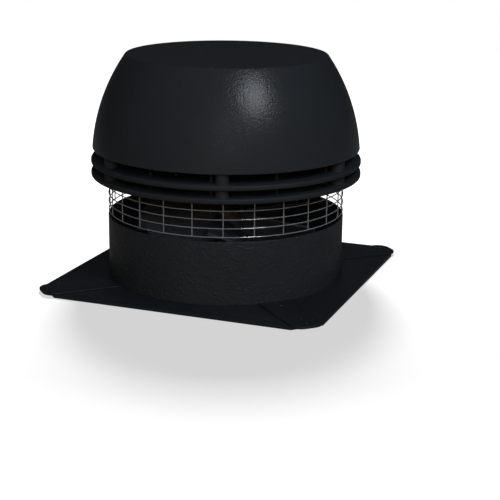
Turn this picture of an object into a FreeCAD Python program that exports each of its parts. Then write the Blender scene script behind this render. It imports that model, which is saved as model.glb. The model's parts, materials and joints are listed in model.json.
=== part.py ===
import FreeCAD, Part
import Sketcher
import math
import os

# Chimney fan with sideways discharge: a square base plate with a round casing for the flue
# inlet, and a hinged head that holds the motor, the bladed wheel, the wire guard, two cooling
# rings and the domed cover.
#
# Frame: millimetres, +Z up, the origin in the middle of the base plate's underside, X and Y
# along the plate's sides.  The hinge of the head is at +Y.  Three groups move as one each:
# the base, the head on its hinge pin, and the rotor on the motor's vertical axis.

V = FreeCAD.Vector
UP = V(0, 0, 1)

# Driving dimensions: name, value in millimetres (angles in degrees), meaning.
DIMENSIONS = [
    ("plate_side", 365.0, "side of the square base plate"),
    ("plate_drop", 4.0, "height of the base plate with its turned-down edge"),
    ("plate_sheet", 1.5, "sheet of the base plate"),
    ("gasket_gap", 0.3, "gap between the gasket and the turned-down edge"),
    ("gasket_width", 34.0, "width of the gasket frame under the plate"),
    ("strap_width", 42.0, "width of a corner strap"),
    ("strap_sheet", 1.5, "thickness of a corner strap"),
    ("strap_inset", 11.1, "distance from the strap's end to the square's full corner"),
    ("strap_round", 15.0, "rounding of the strap's outer corners"),
    ("strap_gap", 0.3, "gap between a strap and the casing"),
    ("rivet_radius", 2.3, "radius of a strap rivet"),
    ("rivet_fill", 0.03, "gap round a rivet or bolt in its hole"),
    ("rivet_sunk", 0.2, "depth of a flush rivet's end below the strap's face"),
    ("rivet_inner", 7.1, "distance from the casing to the first strap rivet"),
    ("rivet_pitch", 12.5, "distance between the two rivets of a pair"),
    ("rivet_outer", 10.0, "distance from the strap's end to its last rivet"),
    ("inlet_step", 29.4, "bore of the flue inlet inside the outline of the casing"),
    ("collar_sheet", 1.5, "sheet of the inlet collar"),
    ("collar_height", 28.0, "height of the inlet collar above the chimney"),
    ("collar_flange", 14.0, "width of the inlet collar's flange"),
    ("collar_gap", 0.2, "gap between the collar and the hole in the plate"),
    ("housing_radius", 150.4, "outer radius of the lower casing"),
    ("housing_wall", 2.5, "wall of the lower casing"),
    ("housing_height", 78.5, "height of the lower casing above the plate"),
    ("housing_foot", 13.0, "width of the casing's foot, turned inward"),
    ("rim_round", 1.0, "rounding of the casing's rim"),
    ("foot_rivet_radius", 2.5, "radius of a rivet in the casing's foot"),
    ("foot_rivet_count", 8.0, "rivets in the casing's foot"),
    ("head_share", 1.65, "radius of a screw's head over that of its shank"),
    ("head_tall", 1.3, "height of a screw's head over the radius of its shank"),
    ("blind_skin", 1.0, "metal left at the end of a blind hole"),
    ("screw_spare", 0.5, "free depth of a blind hole past its screw"),
    ("head_gap", 50.7, "height of the outlet, rim to motor plate"),
    ("guard_gap", 5.6, "height of the lowest hoop above the rim"),
    ("guard_inset", 0.9, "hoops inside the outline of the casing"),
    ("hoop_pitch", 10.7, "distance between hoops"),
    ("hoop_count", 5.0, "hoops of the wire guard"),
    ("upright_count", 25.0, "uprights of the wire guard"),
    ("upright_angle", 2.4, "angle of the first upright"),
    ("wire_radius", 0.7, "radius of the guard's wire"),
    ("ring_overhang", 20.8, "motor plate and cooling ring outside the outline of the casing"),
    ("ring_thick", 6.5, "thickness of the motor plate and the cooling ring"),
    ("ring_round", 2.0, "rounding of their outer edges"),
    ("lower_gap", 9.3, "gap between the motor plate and the cooling ring"),
    ("upper_gap", 12.4, "gap between the cooling ring and the dome"),
    ("cooling_bore", 128.0, "bore radius of the cooling ring"),
    ("post_radius", 8.5, "radius of a spacer post"),
    ("post_inset", 12.2, "post centre to the ring's edge"),
    ("post_angle", -10.0, "angle of the first post"),
    ("post_count", 6.0, "spacer posts in each gap"),
    ("clamp_radius", 2.0, "radius of a clamp screw"),
    ("clamp_inset", 21.2, "clamp screw centre to the ring's edge"),
    ("clamp_angle", 15.0, "angle of the first clamp screw"),
    ("clamp_count", 12.0, "clamp screws"),
    ("clamp_depth", 7.0, "depth of a clamp screw in the dome"),
    ("clamp_head_edge", 0.4, "height of the edge of a clamp screw's head"),
    ("screw_gap", 0.2, "gap round a clamp screw in its clearance holes"),
    ("dome_step", 1.6, "dome's foot inside the ring's edge"),
    ("dome_height", 117.0, "height of the dome"),
    ("dome_top_radius", 126.3, "radius of the dome's flat top"),
    ("dome_mid_radius", 158.6, "radius of the dome at its middle height"),
    ("dome_mid_height", 53.2, "height at which the middle radius is taken"),
    ("dome_wall", 2.5, "wall of the dome"),
    ("dome_flange", 26.0, "width of the dome's flange, turned inward"),
    ("dome_foot", 3.0, "thickness of the dome's flange"),
    ("dome_round", 2.5, "rounding of the dome's edges"),
    ("boss_radius", 5.0, "radius of a screw boss in the dome"),
    ("boss_height", 9.0, "height of a screw boss"),
    ("standoff_height", 18.0, "height of the motor above its plate"),
    ("standoff_radius", 6.0, "radius of a motor standoff"),
    ("motor_bolt_circle", 77.0, "radius of the circle of motor bolts"),
    ("motor_bolt_radius", 3.0, "radius of a motor bolt"),
    ("motor_bolt_angle", 20.0, "angle of the first motor bolt"),
    ("motor_flange_radius", 85.0, "radius of the motor's flange"),
    ("motor_flange_thick", 6.0, "thickness of the motor's flange"),
    ("motor_radius", 72.0, "radius of the motor's shell"),
    ("motor_wall", 4.0, "wall of the motor's shell"),
    ("motor_height", 70.0, "height of the motor's shell"),
    ("fin_count", 24.0, "cooling fins of the motor's shell"),
    ("fin_reach", 6.0, "how far a fin stands out"),
    ("fin_thick", 2.5, "thickness of a fin"),
    ("fin_start", 9.0, "height at which the fins start"),
    ("cap_height", 14.0, "height of the motor's end cap"),
    ("cap_edge", 5.0, "height of the outer edge of the motor's end cap"),
    ("cap_wall", 4.0, "depth of the hollow in the motor's end cap"),
    ("core_height", 46.0, "height of the iron cores"),
    ("core_start", 12.0, "height of the cores above the motor's flange"),
    ("core_bore", 40.0, "bore radius of the stator core"),
    ("air_gap", 0.5, "gap between the stator and the rotor core"),
    ("coil_inner", 46.0, "inner radius of a coil head"),
    ("coil_outer", 62.0, "outer radius of a coil head"),
    ("coil_height", 7.5, "height of a coil head"),
    ("coil_chamfer", 2.0, "chamfer of a coil head"),
    ("shaft_radius", 7.0, "radius of the motor's shaft"),
    ("thread_radius", 6.0, "radius of the shaft's threaded end"),
    ("thread_length", 11.0, "length of the shaft's threaded end"),
    ("shaft_chamfer", 1.0, "chamfer of the shaft's ends"),
    ("shaft_end_gap", 0.5, "end of the shaft below the top of its bearing"),
    ("bearing_radius", 16.0, "outer radius of a bearing"),
    ("bearing_split", 11.0, "radius at which the bearing's rings part"),
    ("bearing_gap", 0.4, "gap between the bearing's rings"),
    ("bearing_width", 10.0, "width of a bearing"),
    ("bearing_low", 3.0, "lower bearing's foot below the foot of the motor's shell"),
    ("bearing_high", 2.0, "upper bearing's foot below the top of the motor's shell"),
    ("seat_wall", 4.0, "wall of a bearing's seat at its end"),
    ("seat_draft", 2.0, "how much thicker that wall is at its root"),
    ("seal_radius", 24.0, "radius of the shaft seal in the motor plate"),
    ("seal_flange", 6.0, "width of the shaft seal's flange"),
    ("seal_bore", 7.5, "bore radius of the shaft seal"),
    ("seal_lip", 2.0, "thickness of the shaft seal's flange"),
    ("slinger_radius", 46.0, "radius of the cooling disc on the shaft"),
    ("slinger_rise", 4.0, "height of the cooling disc above the motor plate"),
    ("slinger_sheet", 2.0, "thickness of the cooling disc"),
    ("slinger_hub", 14.0, "radius of the cooling disc's hub"),
    ("slinger_height", 10.0, "height of the cooling disc with its vanes"),
    ("slinger_vanes", 12.0, "vanes of the cooling disc"),
    ("vane_thick", 2.0, "thickness of a vane"),
    ("sleeve_radius", 20.5, "radius of the shaft sleeve and the wheel's hub"),
    ("sleeve_wall", 2.0, "wall of the shaft sleeve"),
    ("sleeve_end", 4.0, "thickness of the shaft sleeve's closed ends"),
    ("sleeve_gap", 0.5, "gap between the shaft sleeve and the motor plate"),
    ("hub_bottom", 46.0, "height of the wheel hub's underside"),
    ("hub_height", 40.0, "height of the wheel's hub"),
    ("wheel_radius", 118.0, "tip radius of the wheel"),
    ("blade_count", 6.0, "blades of the wheel"),
    ("blade_angle", 56.5, "angle of the first blade"),
    ("blade_sheet", 2.5, "thickness of a blade"),
    ("blade_root_chord", 46.0, "chord of a blade at the hub"),
    ("blade_tip_chord", 74.0, "chord of a blade at its tip"),
    ("blade_root_pitch", 48.0, "pitch of a blade at the hub"),
    ("blade_tip_pitch", 25.0, "pitch of a blade at its tip"),
    ("blade_camber", 5.0, "depth of a blade's curve"),
    ("blade_level", 66.0, "height of the middle of a blade"),
    ("washer_radius", 13.0, "radius of the wheel's washer"),
    ("washer_thick", 2.0, "thickness of the wheel's washer"),
    ("nut_flats", 19.0, "width across the flats of the wheel's nut"),
    ("nut_height", 8.0, "height of the wheel's nut"),
    ("key_width", 4.0, "width of the wheel's key"),
    ("key_length", 26.0, "length of the wheel's key"),
    ("key_seat", 2.5, "depth of the keyway in the shaft"),
    ("key_rise", 1.5, "height of the key above the shaft"),
    ("key_spare", 0.5, "gap above the key in the hub's keyway"),
    ("fit_gap", 0.05, "radial gap of a running or sliding fit"),
    ("pin_inset", 8.2, "hinge pin inside the ring's edge"),
    ("pin_rise", 12.5, "hinge pin above the casing's rim"),
    ("pin_radius", 5.0, "radius of the hinge pin"),
    ("pin_end", 5.0, "length of the pin outside an ear"),
    ("pin_chamfer", 0.6, "chamfer of the pin's ends"),
    ("groove_step", 0.4, "clip groove of the pin outside an ear"),
    ("groove_width", 1.2, "width of a clip groove"),
    ("groove_depth", 0.8, "depth of a clip groove"),
    ("pin_clip_sheet", 1.0, "thickness of a pin clip"),
    ("pin_clip_reach", 2.4, "how far a pin clip stands out of the pin"),
    ("bracket_half", 52.0, "half width of the lower hinge bracket"),
    ("ear_thick", 6.0, "thickness of an ear"),
    ("ear_round", 10.3, "radius of an ear's end"),
    ("ear_bottom", 44.0, "lower end of an ear below the pin"),
    ("saddle_step", 7.0, "saddle's outer face inside the pin"),
    ("saddle_bottom", 10.0, "saddle's lower end above the plate"),
    ("saddle_drop", 8.5, "saddle's upper end below the rim"),
    ("web_thick", 4.0, "thickness of the stop web"),
    ("web_top", 7.5, "upper edge of the stop web below the pin"),
    ("web_height", 22.0, "height of the stop web"),
    ("side_gap", 0.3, "gap between parts that turn beside each other"),
    ("arm_width", 14.0, "width of a hinge arm"),
    ("arm_half", 6.0, "half thickness of a hinge arm"),
    ("arm_tail", 18.0, "length of an arm below the pin"),
    ("arm_boss", 9.0, "radius of an arm's boss"),
    ("arm_flange", 6.0, "thickness of the hinge flange under the motor plate"),
    ("flange_front", 10.5, "hinge flange inside the pin"),
    ("flange_rear", 7.0, "hinge flange outside the pin"),
    ("stiffener_rise", 14.0, "lower edge of the web between the arms, above the pin"),
    ("stiffener_thick", 5.0, "thickness of the web between the arms"),
    ("hinge_screw_radius", 3.0, "radius of a screw of the hinge brackets"),
    ("hinge_screw_pitch", 15.0, "distance between the screws of the hinge flange"),
    ("hinge_screw_inset", 4.5, "screws of the hinge flange inside the pin"),
    ("saddle_screw_tail", 3.0, "length of a saddle screw inside the casing"),
    ("saddle_screw_pitch", 40.0, "distance between the screws of the saddle"),
    ("saddle_screw_low", 12.0, "lower saddle screws above the saddle's lower end"),
    ("saddle_screw_step", 22.0, "distance between the rows of saddle screws"),
    ("clip_count", 5.0, "clips that hold the guard under the motor plate"),
    ("clip_width", 9.0, "width of a clip"),
    ("clip_sheet", 1.5, "sheet of a clip"),
    ("clip_length", 17.0, "length of a clip"),
    ("clip_gap", 0.2, "gap between a clip and the hoop that it holds"),
    ("clip_screw_radius", 1.5, "radius of a clip screw"),
    ("clip_screw_depth", 4.0, "depth of a clip screw in the motor plate"),
    ("gland_angle", 120.0, "angle of the cable gland"),
    ("gland_inset", 10.7, "cable gland centre to the ring's edge"),
    ("gland_flats", 18.0, "width across the flats of the gland's body"),
    ("gland_body", 7.0, "height of the gland's body"),
    ("gland_cap_straight", 6.0, "height of the straight part of the gland's cap"),
    ("gland_cap_taper", 3.0, "height of the tapered part of the gland's cap"),
    ("gland_cap_radius", 8.0, "radius of the gland's cap"),
    ("gland_nut", 4.0, "height of the gland's nut"),
    ("gland_bore", 4.0, "bore radius of the cable gland"),
    ("gland_thread", 7.0, "radius of the gland's thread"),
    ("box_angle", 110.0, "angle of the terminal box on the motor"),
    ("box_depth", 30.0, "depth of the terminal box"),
    ("box_width", 58.0, "width of the terminal box"),
    ("box_height", 46.0, "height of the terminal box"),
    ("box_wall", 2.0, "wall of the terminal box"),
    ("box_rise", 14.0, "terminal box above the motor's flange"),
    ("box_gap", 0.2, "gap between the terminal box and the motor's fins"),
    ("lid_thick", 3.0, "thickness of the terminal box's lid"),
    ("capacitor_radius", 17.5, "radius of the capacitor"),
    ("capacitor_height", 62.0, "height of the capacitor"),
    ("capacitor_gap", 2.0, "gap between the capacitor's clip and the motor's flange"),
    ("capacitor_edge", 1.5, "chamfer of the capacitor's can"),
    ("capacitor_stud", 5.0, "height and foot radius of the capacitor's terminal"),
    ("capacitor_angle", -125.0, "angle of the capacitor"),
    ("capacitor_clip", 1.5, "sheet of the capacitor's clip"),
    ("capacitor_clip_height", 14.0, "height of the capacitor's clip"),
    ("capacitor_clip_rise", 18.0, "capacitor's clip above the motor plate"),
    ("capacitor_foot", 12.0, "width and length of the foot of the capacitor's clip"),
]


class Size:
    """A size with its number and the sheet expression that it comes from."""

    def __init__(self, value, text):
        self.value = float(value)
        self.text = text

    def __add__(self, other):
        other = size(other)
        return Size(self.value + other.value, "(%s + %s)" % (self.text, other.text))

    def __sub__(self, other):
        other = size(other)
        return Size(self.value - other.value, "(%s - %s)" % (self.text, other.text))

    def __mul__(self, other):
        other = size(other)
        return Size(self.value * other.value, "(%s * %s)" % (self.text, other.text))

    def __truediv__(self, other):
        other = size(other)
        return Size(self.value / other.value, "(%s / %s)" % (self.text, other.text))

    def __neg__(self):
        return Size(-self.value, "(0 - %s)" % self.text)

    def __radd__(self, other):
        return size(other) + self

    def __rsub__(self, other):
        return size(other) - self

    def __rmul__(self, other):
        return size(other) * self

    def __rtruediv__(self, other):
        return size(other) / self


# Outline of a round rivet head: distance from the axis and height, in shank radii.
RIVET_HEAD = ((1.8, 0.0), (1.3, 0.7), (0.0, 0.9))
HINGE_SCREWS = 4
MOTOR_BOLTS = 4
CORNERS = 4


def size(number):
    """A plain number as a Size, or the Size itself."""
    if isinstance(number, Size):
        return number
    return Size(number, repr(float(number)))


def root(value):
    """Square root of a size."""
    return Size(math.sqrt(value.value), "sqrt(%s)" % value.text)


def polar(radius, angle):
    """Point at a radius and an angle in degrees, as two sizes."""
    angle = size(angle)
    turn = math.radians(angle.value)
    return (
        radius * Size(math.cos(turn), "cos(%s)" % angle.text),
        radius * Size(math.sin(turn), "sin(%s)" % angle.text),
    )


doc = FreeCAD.newDocument("ChimneyFan")
sheet = doc.addObject("Spreadsheet::Sheet", "Dims")


class Dimensions:
    """The driving dimensions by name."""


d = Dimensions()
for row, (alias, value, meaning) in enumerate(DIMENSIONS, start=1):
    sheet.set("A%d" % row, alias)
    sheet.set("B%d" % row, repr(value))
    sheet.set("C%d" % row, meaning)
    sheet.setAlias("B%d" % row, alias)
    setattr(d, alias, Size(value, "Dims.%s" % alias))
doc.recompute()

NODES = []


def keep(item, label):
    """Name an object as a node of the part."""
    item.Label = label
    NODES.append(item)
    return item


def bind(item, prop, value):
    """Bind a property to a size."""
    item.setExpression(prop, size(value).text)


# Heights and radii that several pieces share.

half = d.plate_side / 2
corner_reach = half * math.sqrt(2)
strap_end = corner_reach - d.strap_inset
corner_cut = d.strap_width / math.sqrt(2)

level_plate = d.plate_drop
level_rim = level_plate + d.housing_height
level_motor_plate = level_rim + d.head_gap
level_deck = level_motor_plate + d.ring_thick
level_cooling = level_deck + d.lower_gap
level_dome = level_cooling + d.ring_thick + d.upper_gap
level_top = level_dome + d.dome_height
level_flange = level_deck + d.standoff_height
level_shell = level_flange + d.motor_flange_thick
level_cap = level_shell + d.motor_height
level_core = level_shell + d.core_start
level_hub_top = d.hub_bottom + d.hub_height

housing_bore = d.housing_radius - d.housing_wall
inlet_radius = d.housing_radius - d.inlet_step
ring_radius = d.housing_radius + d.ring_overhang
guard_radius = d.housing_radius - d.guard_inset
post_circle = ring_radius - d.post_inset
clamp_circle = ring_radius - d.clamp_inset
clamp_head = d.clamp_radius * 2
gland_circle = ring_radius - d.gland_inset
foot_circle = d.housing_radius - (d.housing_foot + d.housing_wall) / 2
collar_circle = inlet_radius + d.collar_sheet + d.collar_flange / 2
foot_rivet_turn = 180 / d.foot_rivet_count
dome_foot_radius = ring_radius - d.dome_step
stator_radius = d.motor_radius - d.motor_wall
rotor_core_radius = d.core_bore - d.air_gap

lower_bearing_level = level_shell - d.bearing_low
upper_bearing_level = level_cap - d.bearing_high

pin_y = ring_radius - d.pin_inset
pin_z = level_rim + d.pin_rise
saddle_face = pin_y - d.saddle_step
saddle_top = level_rim - d.saddle_drop
ear_inside = d.bracket_half - d.ear_thick
arm_outside = ear_inside - d.side_gap
arm_inside = arm_outside - d.arm_width

# Guard clips stand midway between uprights; a clip's screw is in the middle of its flat end.
clip_angle = d.upright_angle + 180 / d.upright_count
clip_lip = guard_radius + d.wire_radius + d.clip_gap
clip_start = clip_lip + d.clip_sheet - d.clip_length
clip_back = guard_radius - 4 * d.wire_radius - d.clip_gap
clip_screw_circle = (clip_start + clip_back) / 2

# The saddle reaches into the casing's outline at its sides; its screws end inside the casing.
saddle_back = root(d.housing_radius * d.housing_radius - d.bracket_half * d.bracket_half)
saddle_screw_aside = d.saddle_screw_pitch / 2
saddle_screw_start = (
    root(housing_bore * housing_bore - saddle_screw_aside * saddle_screw_aside)
    - d.saddle_screw_tail
)


# Sketch helpers.

def origin_part(body, role):
    """The origin plane or axis of a body."""
    for item in body.Origin.OriginFeatures:
        if item.Role == role:
            return item
    raise ValueError(role)


def new_sketch(body, plane, level=None):
    """Empty sketch on an origin plane of its own body, lifted along the plane's normal."""
    sketch = body.newObject("Sketcher::SketchObject", body.Name + "Sketch")
    sketch.AttachmentSupport = [(origin_part(body, plane), "")]
    sketch.MapMode = "FlatFace"
    if level is not None:
        bind(sketch, "AttachmentOffset.Base.z", level)
    return sketch


def pin_point(sketch, element, end, across, up):
    """Hold a point of a sketch at two sizes from the sketch's origin."""
    for kind, distance, axis in (("DistanceX", across, -2), ("DistanceY", up, -1)):
        if size(distance).value == 0 and size(distance).text == "0.0":
            sketch.addConstraint(Sketcher.Constraint("PointOnObject", element, end, axis))
            continue
        number = sketch.addConstraint(
            Sketcher.Constraint(kind, -1, 1, element, end, distance.value)
        )
        sketch.setExpression("Constraints[%d]" % number, distance.text)


def draw_circle(sketch, across, up, radius):
    """Circle at a place."""
    circle = Part.Circle(V(size(across).value, size(up).value, 0), UP, radius.value)
    element = sketch.addGeometry(circle, False)
    pin_point(sketch, element, 3, size(across), size(up))
    number = sketch.addConstraint(Sketcher.Constraint("Radius", element, radius.value))
    sketch.setExpression("Constraints[%d]" % number, radius.text)


def draw_outline(sketch, corners):
    """Closed outline through corners.

    A corner is (across, up), or (across, up, rounding).  A third item that is a pair makes
    the side after that corner an arc through the pair.
    """
    corners = [tuple(corner) + (None,) * (3 - len(corner)) for corner in corners]
    count = len(corners)
    places = [V(size(c[0]).value, size(c[1]).value, 0) for c in corners]
    rounding = [c[2] if isinstance(c[2], Size) else None for c in corners]
    through = [c[2] if isinstance(c[2], tuple) else None for c in corners]

    def trim(index, toward):
        """Where the side that leaves a corner toward another starts."""
        radius = rounding[index]
        if radius is None:
            return places[index]
        back = (places[(index - 1) % count] - places[index]).normalize()
        ahead = (places[(index + 1) % count] - places[index]).normalize()
        setback = radius.value / math.tan(back.getAngle(ahead) / 2)
        return places[index] + (places[toward] - places[index]).normalize() * setback

    sides = []
    for index in range(count):
        after = (index + 1) % count
        start = trim(index, after)
        end = trim(after, index)
        if through[index] is None:
            sides.append((sketch.addGeometry(Part.LineSegment(start, end), False), 1, 2))
            continue
        middle = V(through[index][0].value, through[index][1].value, 0)
        arc = Part.Arc(start, middle, end)
        element = sketch.addGeometry(arc, False)
        first = sketch.getPoint(element, 1)
        ends = (1, 2) if first.distanceToPoint(start) < 1e-6 else (2, 1)
        sides.append((element,) + ends)
        mark = sketch.addGeometry(Part.Point(middle), True)
        pin_point(sketch, mark, 1, *through[index])
        sketch.addConstraint(Sketcher.Constraint("PointOnObject", mark, 1, element))

    for index in range(count):
        before, _, before_end = sides[index - 1]
        side, side_start, _ = sides[index]
        across, up = size(corners[index][0]), size(corners[index][1])
        if rounding[index] is None:
            joint = Sketcher.Constraint("Coincident", before, before_end, side, side_start)
            sketch.addConstraint(joint)
            pin_point(sketch, side, side_start, across, up)
            continue
        radius = rounding[index].value
        start = trim(index, (index - 1) % count)
        end = trim(index, (index + 1) % count)
        inward = (start - places[index]) + (end - places[index])
        distance = math.hypot(radius, start.distanceToPoint(places[index]))
        centre = places[index] + inward.normalize() * distance
        middle = centre + (places[index] - centre).normalize() * radius
        element = sketch.addGeometry(Part.Arc(start, middle, end), False)
        first = sketch.getPoint(element, 1)
        near, far = (1, 2) if first.distanceToPoint(start) < 1e-6 else (2, 1)
        mark = sketch.addGeometry(Part.Point(places[index]), True)
        pin_point(sketch, mark, 1, across, up)
        tangent = Sketcher.Constraint("Tangent", before, before_end, element, near)
        sketch.addConstraint(tangent)
        sketch.addConstraint(Sketcher.Constraint("Tangent", element, far, side, side_start))
        number = sketch.addConstraint(Sketcher.Constraint("Radius", element, radius))
        sketch.setExpression("Constraints[%d]" % number, rounding[index].text)
        sketch.addConstraint(Sketcher.Constraint("PointOnObject", mark, 1, before))
        sketch.addConstraint(Sketcher.Constraint("PointOnObject", mark, 1, side))


def new_body(label):
    """Empty body."""
    return doc.addObject("PartDesign::Body", label)


def turned(label, corners):
    """Body turned about Z from an outline in radius and height."""
    body = new_body(label)
    sketch = new_sketch(body, "XZ_Plane")
    draw_outline(sketch, corners)
    turn = body.newObject("PartDesign::Revolution", label + "_turn")
    turn.Profile = sketch
    turn.ReferenceAxis = (sketch, ["V_Axis"])
    turn.Angle = 360
    body.Tip = turn
    return body


def raise_outline(body, draw, level, height):
    """Pad from a level upward; draw is called with the empty sketch."""
    sketch = new_sketch(body, "XY_Plane", level)
    draw(sketch)
    pad = body.newObject("PartDesign::Pad", body.Name + "_pad")
    pad.Profile = sketch
    bind(pad, "Length", height)
    body.Tip = pad
    return pad


def cut_outline(body, draw, level, depth):
    """Pocket from a level downward, with a test that it takes something away."""
    doc.recompute()
    before = body.Shape.Volume
    sketch = new_sketch(body, "XY_Plane", level)
    draw(sketch)
    pocket = body.newObject("PartDesign::Pocket", body.Name + "_pocket")
    pocket.Profile = sketch
    pocket.Type = "Length"
    bind(pocket, "Length", depth)
    body.Tip = pocket
    doc.recompute()
    if not body.Shape.Volume < before:
        raise ValueError("nothing was cut from " + body.Name)
    return pocket


def repeat(body, feature, count):
    """Repeat a feature round Z."""
    pattern = body.newObject("PartDesign::PolarPattern", body.Name + "_pattern")
    pattern.Originals = [feature]
    pattern.Axis = (origin_part(body, "Z_Axis"), [""])
    pattern.Angle = 360
    bind(pattern, "Occurrences", count)
    body.Tip = pattern
    return pattern


def drill_circle(body, radius, circle, angle, count, level, depth):
    """Holes on a circle round Z."""
    across, up = polar(circle, angle)
    hole = cut_outline(body, lambda s: draw_circle(s, across, up, radius), level, depth)
    if count.value > 1:
        repeat(body, hole, count)


# Helpers for pieces made of primitives.

def box(name, low, high):
    """Box between two corners."""
    item = doc.addObject("Part::Box", name)
    for prop, first, last in zip(("Length", "Width", "Height"), low, high):
        bind(item, prop, size(last) - first)
    for axis, first in zip("xyz", low):
        bind(item, "Placement.Base." + axis, first)
    return item


def rod(name, radius, start, length, along="z"):
    """Cylinder from a point along an axis."""
    item = doc.addObject("Part::Cylinder", name)
    bind(item, "Radius", radius)
    bind(item, "Height", length)
    turns = {
        "x": FreeCAD.Rotation(V(0, 1, 0), 90),
        "y": FreeCAD.Rotation(V(1, 0, 0), -90),
        "z": FreeCAD.Rotation(),
    }
    item.Placement = FreeCAD.Placement(V(), turns[along])
    for axis, place in zip("xyz", start):
        bind(item, "Placement.Base." + axis, place)
    return item


def joined(name, items):
    """Several objects fused to one solid."""
    item = doc.addObject("Part::MultiFuse", name)
    item.Shapes = items
    item.Refine = True
    return item


def less(name, base, tool):
    """One object less another."""
    item = doc.addObject("Part::Cut", name)
    item.Base = base
    item.Tool = tool
    item.Refine = True
    return item


def hexagon(flats, height, level):
    """Hexagonal prism about Z."""
    across = flats.value / math.sqrt(3)
    points = [V(across, 0, 0)]
    for step in range(1, 7):
        turn = math.radians(60 * step)
        points.append(V(across * math.cos(turn), across * math.sin(turn), 0))
    prism = Part.Face(Part.makePolygon(points)).extrude(V(0, 0, height.value))
    prism.translate(V(0, 0, level))
    return prism


def lathe(corners):
    """Solid turned about Z from plain numbers, for the prototype of a repeated fastener."""
    points = [V(radius, 0, height) for radius, height in corners]
    face = Part.Face(Part.makePolygon(points + [points[0]]))
    return face.revolve(V(), UP, 360)


def screw(radius, tip, seat):
    """Screw about Z from its tip to its seat, with its head past the seat."""
    wide = radius * d.head_share.value
    end = seat + math.copysign(radius * d.head_tall.value, seat - tip)
    return lathe([(0, tip), (radius, tip), (radius, seat), (wide, seat), (wide, end), (0, end)])


def ring(inner, outer, low, high):
    """Plain ring about Z."""
    return lathe([(inner, low), (outer, low), (outer, high), (inner, high)])


def keep_shape(label, shape):
    """One solid as a node."""
    item = doc.addObject("Part::Feature", label)
    item.Shape = shape
    return keep(item, label)


def group(label, shapes):
    """Separate solids that share one node."""
    item = doc.addObject("Part::Feature", label)
    item.Shape = Part.makeCompound(shapes)
    return keep(item, label)


def around(shape, radius, angle, count):
    """Copies of a shape that stand on a circle round Z, each turned to its place."""
    copies = []
    number = int(round(size(count).value))
    for step in range(number):
        turned_to = size(angle).value + 360.0 * step / number
        copy = shape.copy()
        copy.translate(V(size(radius).value, 0, 0))
        copy.rotate(V(), UP, turned_to)
        copies.append(copy)
    return copies


# The base: plate, gasket, inlet collar, casing and corner straps.

def cut_square(inset):
    """Corners of the square plate with its cut corners, inset by a distance."""
    side = half - inset
    cut = corner_cut - inset * (2 - math.sqrt(2))
    near = side - cut
    return [
        (side, -near), (side, near), (near, side), (-near, side),
        (-side, near), (-side, -near), (-near, -side), (near, -side),
    ]


def strap_corners(start, turn):
    """Outline of a strap's end that points outward at an angle."""
    side = d.strap_width / 2
    outline = []
    for out, aside, rounding in (
        (start, -side, None),
        (strap_end, -side, d.strap_round),
        (strap_end, side, d.strap_round),
        (start, side, None),
    ):
        along = polar(out, turn)
        across = polar(aside, turn + 90)
        outline.append((along[0] + across[0], along[1] + across[1], rounding))
    return outline


def strap_rivet_places():
    """Distances of a strap's four rivets from the axis."""
    first = d.housing_radius + d.rivet_inner
    last = strap_end - d.rivet_outer
    return [first, first + d.rivet_pitch, last - d.rivet_pitch, last]


def make_base_plate():
    """Pressed plate with turned-down edges and a flat tab at each corner."""
    body = new_body("base_plate")
    raise_outline(body, lambda s: draw_outline(s, cut_square(size(0))), size(0), d.plate_drop)
    inside = cut_square(d.plate_sheet)
    hollow = d.plate_drop - d.plate_sheet
    cut_outline(body, lambda s: draw_outline(s, inside), hollow, hollow)
    tab_start = strap_end - d.strap_width
    tab = raise_outline(
        body, lambda s: draw_outline(s, strap_corners(tab_start, 45)), hollow, d.plate_sheet
    )
    repeat(body, tab, size(CORNERS))
    opening = inlet_radius + d.collar_sheet + d.collar_gap
    cut_outline(body, lambda s: draw_circle(s, 0, 0, opening), level_plate, d.plate_drop)
    for place in strap_rivet_places():
        hole = d.rivet_radius + d.rivet_fill
        drill_circle(body, hole, place, 45, size(CORNERS), level_plate, d.plate_drop)
    drill_circle(
        body, d.foot_rivet_radius + d.rivet_fill, foot_circle, 0, d.foot_rivet_count,
        level_plate, d.plate_drop,
    )
    drill_circle(
        body, d.rivet_radius + d.rivet_fill, collar_circle, foot_rivet_turn,
        d.foot_rivet_count, level_plate, d.plate_drop,
    )
    return keep(body, "base_plate")


def make_gasket():
    """Rubber frame under the plate, flush with the turned-down edge."""
    body = new_body("base_gasket")
    thick = d.plate_drop - d.plate_sheet
    outside = cut_square(d.plate_sheet + d.gasket_gap)
    inner = half - d.gasket_width
    inside = [(inner, -inner), (inner, inner), (-inner, inner), (-inner, -inner)]
    raise_outline(body, lambda s: draw_outline(s, outside), size(0), thick)
    cut_outline(body, lambda s: draw_outline(s, inside), thick, thick)
    return keep(body, "base_gasket")


def make_inlet_collar():
    """Spun collar that leads the flue gas to the wheel."""
    inner = inlet_radius
    outer = inner + d.collar_sheet
    flange = outer + d.collar_flange
    top = level_plate + d.collar_sheet
    body = turned("inlet_collar", [
        (inner, size(0)), (outer, size(0)), (outer, level_plate), (flange, level_plate),
        (flange, top), (outer, top), (outer, d.collar_height), (inner, d.collar_height),
    ])
    drill_circle(
        body, d.rivet_radius + d.rivet_fill, collar_circle, foot_rivet_turn,
        d.foot_rivet_count, top, d.collar_sheet,
    )
    return keep(body, "inlet_collar")


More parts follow.
